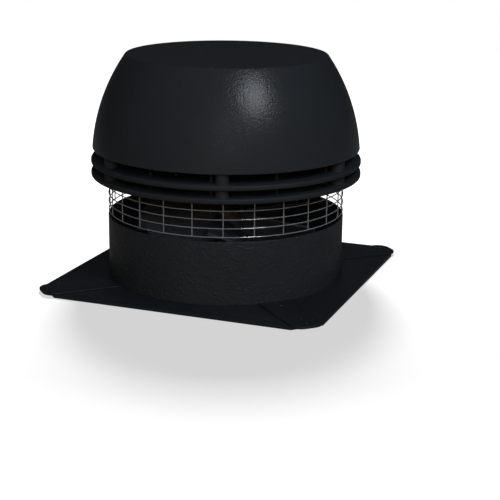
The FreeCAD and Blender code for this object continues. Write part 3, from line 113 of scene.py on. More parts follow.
def arc(centre: Point, radius: float, first: float, last: float, steps: int) -> list[Point]:
    """Points of an arc from one angle to another, in degrees, both ends included."""
    spokes = [math.radians(first + (last - first) * step / steps) for step in range(steps + 1)]
    return [(centre[0] + radius * math.cos(a), centre[1] + radius * math.sin(a)) for a in spokes]


def circle(centre: Point, radius: float, steps: int = 32) -> list[Point]:
    """Points of a full circle."""
    return arc(centre, radius, 0.0, 360.0, steps)[:-1]


def hexagon(flats: float) -> list[Point]:
    """Corners of a hexagon about the origin, by its width across the flats."""
    return arc(CENTRE, flats / math.sqrt(3), 0.0, 300.0, 5)


def rectangle(left: float, low: float, right: float, high: float) -> list[Point]:
    """Corners of a rectangle, anticlockwise."""
    return [(left, low), (right, low), (right, high), (left, high)]


def area(outline: Sequence[Point]) -> float:
    """Area inside an outline, positive where it runs anticlockwise."""
    pairs = zip(outline, list(outline[1:]) + [outline[0]])
    return sum(a[0] * b[1] - b[0] * a[1] for a, b in pairs) / 2


def drawn_in(outline: Sequence[Point], distance: float) -> list[Point]:
    """Outline moved to its left, each corner along its bisector.

    Args:
        outline: Closed outline.
        distance: How far each side moves.

    Returns:
        The moved points.
    """
    moved: list[Point] = []
    count = len(outline)
    # Where a corner is sharp, it moves no further than this share allows.
    least = 0.3
    for index, place in enumerate(outline):
        here = Vector(place)
        before = (here - Vector(outline[index - 1])).normalized()
        after = (Vector(outline[(index + 1) % count]) - here).normalized()
        left = Vector((-before.y - after.y, before.x + after.x))
        spot = here + left.normalized() * distance / max(least, left.length / 2)
        moved.append((spot.x, spot.y))
    return moved


def turned(degrees: float, radius: float = 0.0, level: float = 0.0) -> Matrix:
    """Move out along X and up, then turn about Z."""
    return Matrix.Rotation(math.radians(degrees), 4, "Z") @ Matrix.Translation((radius, 0, level))


def spread(count: int, first: float, radius: float = 0.0, level: float = 0.0) -> list[Matrix]:
    """Places spread evenly about Z from a first angle in degrees, each facing outward."""
    return [turned(first + 360 / count * n, radius, level) for n in range(count)]


# The plane of an outline: its two directions and the way that its thickness runs.
IN_YZ = Matrix(((0, 0, 1, 0), (1, 0, 0, 0), (0, 1, 0, 0), (0, 0, 0, 1)))
IN_XZ = Matrix(((1, 0, 0, 0), (0, 0, -1, 0), (0, 1, 0, 0), (0, 0, 0, 1)))
# Turns that point a piece's own upward axis down, or to the rear.
DOWN = Matrix.Rotation(math.pi, 4, "X")
BACK = Matrix.Rotation(-math.pi / 2, 4, "X")


class ShaderTree:
    """Nodes of one material or of the world, with short calls for what finishes use."""

    def __init__(
        self, owner: bpy.types.Material | bpy.types.World, shader: str = "Principled BSDF"
    ) -> None:
        """Take the nodes of a material or a world.

        Args:
            owner: The material or world.
            shader: Name of its shader's node.
        """
        owner.use_nodes = True
        self.tree = owner.node_tree
        self.shader = self.tree.nodes[shader]

    def set(self, **values: float | tuple[float, ...]) -> None:
        """Set sockets of the shader; an underscore in a name stands for a space."""
        for name, value in values.items():
            self.shader.inputs[name.replace("_", " ")].default_value = value

    def drive(self, source: Socket, name: str) -> None:
        """Let a socket drive one input of the shader."""
        self.tree.links.new(source, self.shader.inputs[name])

    def step(
        self, kind: str, output: str, inputs: dict[str | int, object], **options: str
    ) -> Socket:
        """Add a node.

        Args:
            kind: Its type, without the words that every type starts with.
            output: The output that is wanted.
            inputs: A socket or a value for each input that is set.
            **options: The node's own options.

        Returns:
            That output.
        """
        node = self.tree.nodes.new("ShaderNode" + kind)
        for name, option in options.items():
            setattr(node, name, option)
        for name, value in inputs.items():
            if isinstance(value, Socket):
                self.tree.links.new(value, node.inputs[name])
            else:
                node.inputs[name].default_value = value
        return node.outputs[output]

    def place(self) -> Socket:
        """Object coordinates."""
        return self.step("TexCoord", "Object", {})

    def ray(self, kind: str) -> Socket:
        """1 for a ray of that kind."""
        return self.step("LightPath", kind, {})

    def maths(self, operation: str, *values: Socket | float) -> Socket:
        """Result of an arithmetic operation on sockets and numbers."""
        return self.step("Math", "Value", dict(enumerate(values)), operation=operation)

    def ranged(self, source: Socket, reach: Point, ends: Point) -> Socket:
        """Spread part of a socket's range over another.

        Args:
            source: The socket.
            reach: Lowest and highest value that is told apart.
            ends: What those two become.

        Returns:
            The new value.
        """
        inputs = {"Value": source, "From Min": reach[0], "From Max": reach[1]}
        inputs |= {"To Min": ends[0], "To Max": ends[1]}
        return self.step("MapRange", "Result", inputs)

    def tint(self, share: Socket, first: Triple, last: Triple) -> Socket:
        """Colour between two colours."""
        inputs = {"Factor": share, "A": (*first, 1.0), "B": (*last, 1.0)}
        return self.step("Mix", "Result", inputs, data_type="RGBA")

    def raise_by(self, height: Socket, depth: float) -> None:
        """Add relief on top of the relief that is there.

        Args:
            height: The relief's shape.
            depth: Its depth, in metres.
        """
        below = self.shader.inputs["Normal"]
        inputs: dict[str | int, object] = {"Height": height, "Distance": depth}
        if below.is_linked:
            inputs["Normal"] = below.links[0].from_socket
        self.tree.links.new(self.step("Bump", "Normal", inputs), below)


@dataclass(frozen=True)
class Layer:
    """Marks of a finish, as noise or as bands across the height.

    Attributes:
        detail: Finer marks on the noise; None for bands.
        distortion: How far the marks are drawn out of shape.
        stretch: Scale of the coordinates along each axis.
        size: Size of a mark, as a share of the finish's own.
        depth: Depth of the relief, as a share of the finish's own.
    """

    detail: float | None
    distortion: float = 0.0
    stretch: Triple = (1.0, 1.0, 1.0)
    size: float = 1.0
    depth: float = 1.0

    def marks(self, tree: ShaderTree, size: float) -> Socket:
        """Add the layer's nodes.

        Args:
            tree: Where they go.
            size: The finish's own size of a mark, in metres.

        Returns:
            The value of the marks.
        """
        inputs: dict[str | int, object] = {"Distortion": self.distortion}
        if self.detail is None:
            inputs |= {"Vector": tree.place(), "Scale": math.pi / (10.0 * size * self.size)}
            return tree.step("TexWave", "Fac", inputs, bands_direction="Z")
        spots = tree.step("Mapping", "Vector", {"Vector": tree.place(), "Scale": self.stretch})
        inputs |= {"Vector": spots, "Scale": 1.0 / (size * self.size), "Detail": self.detail}
        return tree.step("TexNoise", "Fac", inputs)


class Grain(Enum):
    """Relief of a finish, as its layers from the lowest up."""

    ORANGE_PEEL = (Layer(0.6, 1.5),)
    CAST = (Layer(4.0), Layer(1.0, size=6.0, depth=2.0))
    BRUSHED = (Layer(2.0, stretch=(1.0, 1.0, 0.04)),)
    DRAWN = (Layer(2.0, 0.2, (1.0, 0.15, 1.0)),)
    STACKED = (Layer(None, 0.3),)
    WOUND = (Layer(None, 1.5), Layer(2.0, size=3.0))
    MOULDED = (Layer(3.0),)


PATCHES = Layer(5.0, 0.4)
SMEARS = Layer(4.0, 0.2, size=0.6)
NOISE_MIDDLE = (0.3, 0.7)
COAT_ROUGHNESS = 0.25


@dataclass(frozen=True)
class Finish:
    """Finish of a surface.

    Attributes:
        name: Its name, which the material takes.
        slot: The record's material slot.
        colour: Main colour.
        patch: Colour of the worn or dusty patches.
        patch_size: Size of a patch, in metres.
        roughness: Lowest and highest roughness.
        metallic: 1 for bare metal.
        grain: Kind of relief.
        grain_size: Size of a mark of the relief, in metres.
        grain_depth: Depth of the relief, in metres.
        coat: Strength of a clear gloss on top.
        shine: Specular level of the surface.
    """

    name: str
    slot: str
    colour: Triple
    patch: Triple
    patch_size: float
    roughness: Point
    metallic: float
    grain: Grain
    grain_size: float
    grain_depth: float
    coat: float = 0.0
    shine: float = 0.5

    def material(self) -> bpy.types.Material:
        """Make the finish's material, or find it where it is made already.

        Returns:
            The material.
        """
        made = bpy.data.materials.get(self.name)
        if made:
            return made
        made = bpy.data.materials.new(self.name)
        tree = ShaderTree(made)
        tree.set(Metallic=self.metallic, Specular_IOR_Level=self.shine)
        tree.set(Coat_Weight=self.coat, Coat_Roughness=COAT_ROUGHNESS)
        share = tree.ranged(PATCHES.marks(tree, self.patch_size), NOISE_MIDDLE, (0.0, 1.0))
        tree.drive(tree.tint(share, self.colour, self.patch), "Base Color")
        smears = SMEARS.marks(tree, self.patch_size)
        tree.drive(tree.ranged(smears, NOISE_MIDDLE, self.roughness), "Roughness")
        for layer in self.grain.value:
            tree.raise_by(layer.marks(tree, self.grain_size), self.grain_depth * layer.depth)
        return made


PLATE_COAT = Finish(
    "plate_coat", "black_sheet", (0.0090, 0.0104, 0.0122), (0.0108, 0.0122, 0.0142), 0.06,
    (0.34, 0.42), 0.0, Grain.ORANGE_PEEL, 3.0 * MM, 0.10 * MM, shine=0.55,
)
CASING_COAT = Finish(
    "casing_coat", "black_sheet", (0.0152, 0.0166, 0.0184), (0.0178, 0.0192, 0.0212), 0.05,
    (0.38, 0.46), 0.0, Grain.ORANGE_PEEL, 6.0 * MM, 1.30 * MM, shine=0.24,
)
STEEL_COAT = Finish(
    "steel_coat", "black_steel", (0.0130, 0.0140, 0.0155), (0.0170, 0.0180, 0.0195), 0.03,
    (0.38, 0.46), 0.0, Grain.ORANGE_PEEL, 2.6 * MM, 0.12 * MM, shine=0.25,
)
CAST_COAT = Finish(
    "cast_coat", "black_cast", (0.0172, 0.0190, 0.0212), (0.0190, 0.0208, 0.0232), 0.08,
    (0.27, 0.30), 0.0, Grain.ORANGE_PEEL, 4.8 * MM, 0.22 * MM, shine=0.225,
)
RING_COAT = Finish(
    "ring_coat", "black_cast", (0.0160, 0.0172, 0.0188), (0.0180, 0.0192, 0.0208), 0.05,
    (0.48, 0.56), 0.0, Grain.ORANGE_PEEL, 3.6 * MM, 0.12 * MM, shine=0.12,
)
GREY_SHEET = Finish(
    "grey_sheet", "grey_sheet", (0.060, 0.060, 0.063), (0.035, 0.033, 0.031), 0.03,
    (0.35, 0.55), 0.7, Grain.DRAWN, 1.5 * MM, 0.03 * MM,
)
ZINC = Finish(
    "zinc_plating", "zinc_steel", (0.42, 0.42, 0.43), (0.30, 0.30, 0.31), 0.006,
    (0.28, 0.42), 1.0, Grain.MOULDED, 0.8 * MM, 0.02 * MM,
)
PAINTED_ZINC = Finish(
    "painted_zinc", "zinc_steel", (0.0100, 0.0113, 0.0130), (0.0125, 0.0140, 0.0160), 0.008,
    (0.48, 0.58), 0.0, Grain.MOULDED, 1.2 * MM, 0.02 * MM, shine=0.15,
)
WIRE = Finish(
    "drawn_wire", "bright_wire", (0.460, 0.470, 0.490), (0.380, 0.385, 0.400), 0.01,
    (0.10, 0.15), 0.7, Grain.DRAWN, 0.6 * MM, 0.001 * MM,
)
MOTOR_CAST = Finish(
    "motor_skin", "motor_cast", (0.26, 0.27, 0.28), (0.17, 0.17, 0.18), 0.03,
    (0.42, 0.58), 0.9, Grain.CAST, 0.9 * MM, 0.08 * MM,
)
CORE_IRON = Finish(
    "stacked_iron", "core_iron", (0.11, 0.11, 0.12), (0.06, 0.05, 0.05), 0.02,
    (0.45, 0.60), 0.9, Grain.STACKED, 0.5 * MM, 0.10 * MM,
)
COPPER = Finish(
    "wound_copper", "copper", (0.42, 0.13, 0.05), (0.24, 0.07, 0.03), 0.01,
    (0.25, 0.38), 0.6, Grain.WOUND, 0.9 * MM, 0.35 * MM, 0.6,
)
GROUND_STEEL = Finish(
    "ground_steel", "bearing_steel", (0.52, 0.52, 0.54), (0.40, 0.40, 0.42), 0.01,
    (0.12, 0.25), 1.0, Grain.BRUSHED, 0.5 * MM, 0.01 * MM,
)
BLACK_PLASTIC = Finish(
    "moulded_plastic", "black_plastic", (0.016, 0.016, 0.017), (0.022, 0.022, 0.023), 0.02,
    (0.42, 0.52), 0.0, Grain.MOULDED, 0.6 * MM, 0.04 * MM,
)
CAN = Finish(
    "drawn_can", "can_aluminium", (0.60, 0.60, 0.61), (0.48, 0.48, 0.50), 0.02,
    (0.25, 0.38), 1.0, Grain.BRUSHED, 0.6 * MM, 0.01 * MM,
)
WHEEL_METAL = Finish(
    "wheel_metal", "wheel_cast", (0.046, 0.049, 0.054), (0.036, 0.039, 0.044), 0.035,
    (0.60, 0.72), 0.0, Grain.CAST, 1.2 * MM, 0.05 * MM, shine=0.25,
)
# Painted shade: the sleeve's colour is far darker than the wheel's metal of the same slot, and tinted
# blue against the low lamp's orange, so that it reads as in shade under the head.
SHADED_SLEEVE_METAL = Finish(
    "sleeve_painted_shade", "wheel_cast", (0.012, 0.015, 0.020), (0.009, 0.011, 0.015), 0.035,
    (0.38, 0.55), 0.3, Grain.BRUSHED, 1.2 * MM, 0.03 * MM,
)
RUBBER = Finish(
    "soft_rubber", "rubber", (0.012, 0.012, 0.012), (0.018, 0.018, 0.018), 0.02,
    (0.60, 0.75), 0.0, Grain.MOULDED, 0.8 * MM, 0.05 * MM,
)


def dress(node: str, finish: Finish) -> None:
    """Give a finish to a node that keeps its solid.

    Args:
        node: The node.
        finish: Its finish.
    """
    thing = frame["nodes"][node]
    thing.data.materials.clear()
    thing.data.materials.append(finish.material())
    LOG.info("%s keeps its solid, dressed as %s", node, finish.slot)


class Workpiece:
    """One piece while its mesh is being made."""

    def __init__(self) -> None:
        """Start with an empty mesh."""
        self.mesh = bmesh.new()

    def loops(self, rows: Sequence[Sequence[Vector]], closed: bool) -> None:
        """Skin closed rows of equal length, each to the next.

        Args:
            rows: Rows of points; each row is a ring.
            closed: Whether the last row joins the first.
        """
        rings = [[self.mesh.verts.new(place) for place in row] for row in rows]
        pairs = list(zip(rings, rings[1:]))
        if closed:
            pairs.append((rings[-1], rings[0]))
        for first, second in pairs:
            count = len(first)
            for index in range(count):
                after = (index + 1) % count
                self.mesh.faces.new((first[index], first[after], second[after], second[index]))

    def turn(
        self,
        outline: Sequence[Point],
        segments: int = 48,
        place: Matrix = Matrix.Identity(4),
    ) -> Workpiece:
        """Turn a closed outline of radius and height about Z.

        Args:
            outline: Points as (radius, height).
            segments: Facets round the axis.
            place: Where the turned form goes.

        Returns:
            The workpiece itself.
        """
        rows = []
        for step in range(segments):
            spin = place @ Matrix.Rotation(2 * math.pi * step / segments, 4, "Z")
            rows.append([spin @ Vector((max(r, THIN), 0.0, z)) for r, z in outline])
        self.loops(rows, True)
        return self

    def plate(
        self,
        outlines: Sequence[Sequence[Point]],
        low: float,
        high: float,
        edge: float = 0.0,
        place: Matrix = Matrix.Identity(4),
    ) -> Workpiece:
        """Flat piece with holes and rounded edges.

        Args:
            outlines: The outside first, then the holes.
            low: Lower face along the outline's normal.
            high: Upper face.
            edge: Rounding of all edges.
            place: Where the plate goes.

        Returns:
            The workpiece itself.
        """
        steps = range(EDGE_STEPS + 1) if edge > 0 else (0,)
        bend = [math.pi / 2 * step / EDGE_STEPS for step in steps]
        shape = [(edge * (1 - math.sin(a)), low + edge * (1 - math.cos(a))) for a in bend]
        shape += [(inset, high - (level - low)) for inset, level in reversed(shape)]
        caps: tuple[list[list[Vector]], list[list[Vector]]] = ([], [])
        for number, outline in enumerate(outlines):
            points = list(outline)
            if (area(points) > 0) != (number == 0):
                points.reverse()
            rows = []
            for inset, level in shape:
                ring = drawn_in(points, inset) if inset > 0 else points
                rows.append([Vector((x, y, level)) for x, y in ring])
            self.loops([[place @ spot for spot in row] for row in rows], False)
            caps[0].append(rows[0])
            caps[1].append(rows[-1])
        for face_up, loops in enumerate(caps):
            flat = [place @ spot for loop in loops for spot in loop]
            corners = [self.mesh.verts.new(spot) for spot in flat]
            for triangle in tessellate_polygon(loops):
                order = triangle if face_up else triangle[::-1]
                self.mesh.faces.new([corners[index] for index in order])
        return self

    def tube(
        self, path: Sequence[Vector], radius: float, closed: bool = False, sides: int = 12
    ) -> Workpiece:
        """Round bar along a path.

        Args:
            path: Middle line.
            radius: Radius of the bar.
            closed: Whether the bar is a ring.
            sides: Facets round the bar.

        Returns:
            The workpiece itself.
        """
        rows = []
        count = len(path)
        for index, spot in enumerate(path):
            before = path[index - 1] if index or closed else spot
            after = path[(index + 1) % count] if index < count - 1 or closed else spot
            along = (after - before).normalized()
            helper = Vector((0, 0, 1)) if abs(along.z) < 0.9 else Vector((1, 0, 0))
            side = along.cross(helper).normalized()
            up = side.cross(along)
            ring = circle(CENTRE, radius, sides)
            rows.append([spot + side * across + up * rise for across, rise in ring])
        self.loops(rows, closed)
        if not closed:
            for row, tip in ((rows[0], path[0]), (rows[-1], path[-1])):
                ends = [self.mesh.verts.new(spot) for spot in row]
                middle = self.mesh.verts.new(tip)
                for index in range(sides):
                    self.mesh.faces.new((ends[index], ends[(index + 1) % sides], middle))
        return self

    def copies(self, part: Workpiece, places: Sequence[Matrix]) -> Workpiece:
        """Add copies of another workpiece, which is used up.

        Args:
            part: The piece to repeat.
            places: Where each copy goes.

        Returns:
            The workpiece itself.
        """
        held = bpy.data.meshes.new("part")
        part.mesh.to_mesh(held)
        part.mesh.free()
        for place in places:
            moved = held.copy()
            moved.transform(place)
            self.mesh.from_mesh(moved)
            bpy.data.meshes.remove(moved)
        bpy.data.meshes.remove(held)
        return self

    def done(self, name: str, finish: Finish, body: str, *nodes: str) -> None:
        """Close the mesh, dress it and set it in the frame.

        Args:
            name: Name of the piece.
            finish: Its finish.
            body: The body that it moves with.
            *nodes: The nodes that it stands for.
        """
        bmesh.ops.remove_doubles(self.mesh, verts=self.mesh.verts, dist=MERGE)
        bmesh.ops.dissolve_degenerate(self.mesh, edges=self.mesh.edges, dist=THIN)
        bmesh.ops.recalc_face_normals(self.mesh, faces=self.mesh.faces)
        data = bpy.data.meshes.new(name)
        self.mesh.to_mesh(data)
        self.mesh.free()
        data.polygons.foreach_set("use_smooth", [True] * len(data.polygons))
        data.set_sharp_from_angle(angle=SHARP)
        data.materials.append(finish.material())
        piece = bpy.data.objects.new(name, data)
        bpy.context.scene.collection.objects.link(piece)
        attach(piece, body)
        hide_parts(*nodes)
        LOG.info("%s rides on %s, %d faces", name, body, len(data.polygons))


@dataclass(frozen=True)
class Screw:
    """Cap screw with a hexagon socket, in metres.

    Attributes:
        radius: Radius of the shank.
        head: Radius of the head.
        height: Height of the head.
        length: Length of the shank below its seat.
        key: Width of the socket across its flats, as a share of the shank's radius.
        floor: Height of the socket's floor, as a share of the head's height.
        lap: Height of the head's lower part, as a share of the floor's.
        chamfer: Chamfer of the tip, as a share of the shank's radius.
        edge: Rounding of the head, as a share of its radius.
    """

    radius: float
    head: float
    height: float
    length: float
    key: float = 1.7
    floor: float = 0.45
    lap: float = 1.02
    chamfer: float = 0.2
    edge: float = 0.08

    def made(self) -> Workpiece:
        """Make the screw along +Z, with its seat at zero and its head above it.

        Returns:
            The screw.
        """
        radius, head = self.radius, self.head
        floor = self.height * self.floor
        lapped = floor * self.lap
        tip = radius * self.chamfer
        outlines = [circle(CENTRE, head, HEAD_FACETS), hexagon(radius * self.key)]
        piece = Workpiece().plate(outlines, floor, self.height, head * self.edge)
        piece.turn([(0, 0), (head, 0), (head, lapped), (0, lapped)], HEAD_FACETS)
        piece.turn([
            (0, -self.length), (radius - tip, -self.length), (radius, -self.length + tip),
            (radius, 0.0), (0, 0),
        ], SHANK_FACETS)
        return piece


# A round rivet's head, across and up as shares of its shank, and each rounding in millimetres.
RIVET_HEAD = (
    (1.8, 0.0, 0.0), (1.5, 0.6, 0.5), (0.4, 0.9, 0.3), (0.35, 0.4, 0.0), (0.0, 0.4, 0.0),
)


@dataclass(frozen=True)
class RivetRing:
    """Ring of round rivets with a hollow middle, in metres and degrees.

    Attributes:
        name: Name of the piece.
        node: The node that it stands for.
        circle: Radius of the ring.
        first: Angle of the first rivet.
        seat: Height of the heads' seat above the base plate's face.
        shank: Radius of a shank.
        sunk: Length of the shank below the seat.
        count: Rivets in the ring.
    """

    name: str
    node: str
    circle: float
    first: float
    seat: float
    shank: float
    sunk: float = 0.5 * MM
    count: int = 8

    def build(self, face: float) -> None:
        """Turn one rivet and repeat it round the ring.

        Args:
            face: Height of the base plate's face.
        """
        level = face + self.seat
        foot = level - self.sunk
        size = self.shank
        corners: list[Corner] = [(0, foot), (size, foot), (size, level)]
        for across, up, edge in RIVET_HEAD:
            corners.append((across * size, level + up * size, edge * MM))
        rivet = Workpiece().turn(rounded(corners), SMALL_FACETS)
        group = Workpiece().copies(rivet, spread(self.count, self.first, self.circle))
        group.done(self.name, PAINTED_ZINC, "base", self.node)


@dataclass
class BaseSheetwork:
    """Base plate, corner straps, gasket, inlet collar and their rivets, in metres."""

    half: float = 182.5 * MM
    sheet: float = 1.5 * MM
    opening: float = 122.7 * MM
    edge: float = 0.5 * MM
    skirt_drop: float = 0.9 * MM
    skirt_edge: float = 0.3 * MM
    strap_width: float = 42 * MM
    strap_inset: float = 11.115 * MM
    strap_round: float = 15 * MM
    strap_face: float = 150.7 * MM
    strap_edge: float = 0.4 * MM
    rivet_radius: float = 2.3 * MM
    rivet_hole: float = 2.369 * MM
    rivet_sunk: float = 0.2 * MM
    rivet_length: float = 1.6 * MM
    rivet_round: float = 0.3 * MM
    rivet_rows: tuple[float, ...] = (157.5 * MM, 170.0 * MM, 224.5 * MM, 237.0 * MM)
    dimple_mouth: float = 0.92 * MM
    dimple_floor: float = 0.69 * MM
    dimple_depth: float = 0.5 * MM
    round_rivets: tuple[RivetRing, ...] = (
        RivetRing("foot_rivets", "housing_rivets", 142.65 * MM, 0.0, 2.5 * MM, 2.5 * MM),
        RivetRing("flange_rivets", "collar_rivets", 129.5 * MM, 22.5, 1.5 * MM, 2.3 * MM),
    )
    collar_radius: float = 121 * MM
    collar_fillet: float = 2.0 * MM
    collar_edge: float = 0.3 * MM
    lip_round: float = 0.735 * MM
    facets: int = 160

    def __post_init__(self) -> None:
        """Work out the square's cut corners."""
        self.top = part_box("corner_strap_rear_right")[0].z
        self.near = self.half - self.strap_width / math.sqrt(2)
        self.reach = self.half * math.sqrt(2) - self.strap_inset

    def octagon(self, inset: float) -> list[Point]:
        """Square with cut corners.

        Args:
            inset: How far its sides are drawn in.

        Returns:
            Its corners, anticlockwise.
        """
        half, near = self.half, self.near
        corners = [
            (half, -near), (half, near), (near, half), (-near, half),
            (-half, near), (-half, -near), (-near, -half), (near, -half),
        ]
        return drawn_in(corners, inset) if inset > 0 else corners

    def tab_end(self, angle: float) -> list[Corner]:
        """The two rounded corners of a tab.

        Args:
            angle: Where the tab points, in degrees.

        Returns:
            Its corners, anticlockwise.
        """
        ends = []
        for side in (-1, 1):
            corner = Vector((self.reach, side * self.strap_width / 2))
            spot = Matrix.Rotation(math.radians(angle), 2) @ corner
            ends.append((spot.x, spot.y, self.strap_round))
        return ends

    def plate(self) -> None:
        """Pressed plate with its four tabs and its turned-down edges."""
        corners: list[Corner] = []
        cut = self.octagon(0.0)
        for quarter in range(4):
            first, second = cut[2 * quarter + 1], cut[(2 * quarter + 2) % len(cut)]
            corners += [first, *self.tab_end(45 + 90 * quarter), second]
        outline = [rounded(corners, steps=8), circle(CENTRE, self.opening, self.facets)]
        piece = Workpiece().plate(outline, self.top - self.sheet, self.top, self.edge)
        skirt = [self.octagon(0.0), self.octagon(self.sheet)]
        piece.plate(skirt, 0.0, self.top - self.skirt_drop, self.skirt_edge)
        piece.done("plate_tray", PLATE_COAT, "base", "base_plate")

    def straps(self) -> None:
        """Flat strap on each corner, with holes for its rivets."""
        swing = math.degrees(math.asin(self.strap_width / 2 / self.strap_face))
        for number, name in enumerate(("rear_right", "rear_left", "front_left", "front_right")):
            angle = 45 + 90 * number
            inner = arc(CENTRE, self.strap_face, angle + swing, angle - swing, steps=12)
            outlines = [rounded([*inner, *self.tab_end(angle)], steps=8)]
            for row in self.rivet_rows:
                middle = arc(CENTRE, row, angle, angle, steps=1)[0]
                outlines.append(circle(middle, self.rivet_hole, SMALL_FACETS))
            piece = Workpiece()
            piece.plate(outlines, self.top, self.top + self.sheet, self.strap_edge)
            piece.done("strap_" + name, PLATE_COAT, "base", "corner_strap_" + name)

    def rivets(self) -> None:
        """Flush rivets of the straps and round rivets of the casing and the collar."""
        top = self.top + self.sheet - self.rivet_sunk
        bottom = top - self.rivet_length
        dimple = top - self.dimple_depth
        flush = Workpiece().turn(rounded([
            (0, bottom), (self.rivet_radius, bottom), (self.rivet_radius, top, self.rivet_round),
            (self.dimple_mouth, top), (self.dimple_floor, dimple), (0, dimple),
        ]), SMALL_FACETS)
        rows = [spread(4, 45, row) for row in self.rivet_rows]
        group = Workpiece().copies(flush, [place for strap in zip(*rows) for place in strap])
        group.done("flush_rivets", PAINTED_ZINC, "base", "strap_rivets")
        for ring in self.round_rivets:
            ring.build(self.top)

    def collar(self) -> None:
        """Spun inlet collar with a rolled lip."""
        low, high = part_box("inlet_collar")
        inner, outer = self.collar_radius, self.collar_radius + self.sheet
        top = self.top + self.sheet
        outline = rounded([
            (inner, low.z), (outer, low.z), (outer, self.top),
            (high.x, self.top, self.collar_edge), (high.x, top, self.collar_edge),
            (outer, top, self.collar_fillet), (outer, high.z, self.lip_round),
            (inner, high.z, self.lip_round),
        ])
        piece = Workpiece().turn(outline, self.facets)
        piece.done("spun_collar", GREY_SHEET, "base", "inlet_collar")

    def build(self) -> None:
        """Make all pieces of the sheetwork."""
        self.plate()
        self.straps()
        self.rivets()
        self.collar()
        dress("base_gasket", RUBBER)


@dataclass
class Casing:
    """Round lower casing with its rolled rim, in metres."""

    wall: float = 2.5 * MM
    foot: float = 13 * MM
    rim_round: float = 1.2 * MM
    heel_round: float = 0.4 * MM
    inner_round: float = 2.0 * MM
    toe_round: float = 0.5 * MM
    facets: int = 256

    def build(self) -> None:
        """Turn the casing."""
        low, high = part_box("lower_housing")
        outer = high.x
        inner = outer - self.wall
        foot_top = low.z + self.wall
        outline = rounded([
            (outer - self.foot, low.z), (outer, low.z, self.heel_round),
            (outer, high.z, self.rim_round), (inner, high.z, self.rim_round),
            (inner, foot_top, self.inner_round), (outer - self.foot, foot_top, self.toe_round),
        ])
        piece = Workpiece().turn(outline, self.facets)
        piece.done("casing", CASING_COAT, "base", "lower_housing")


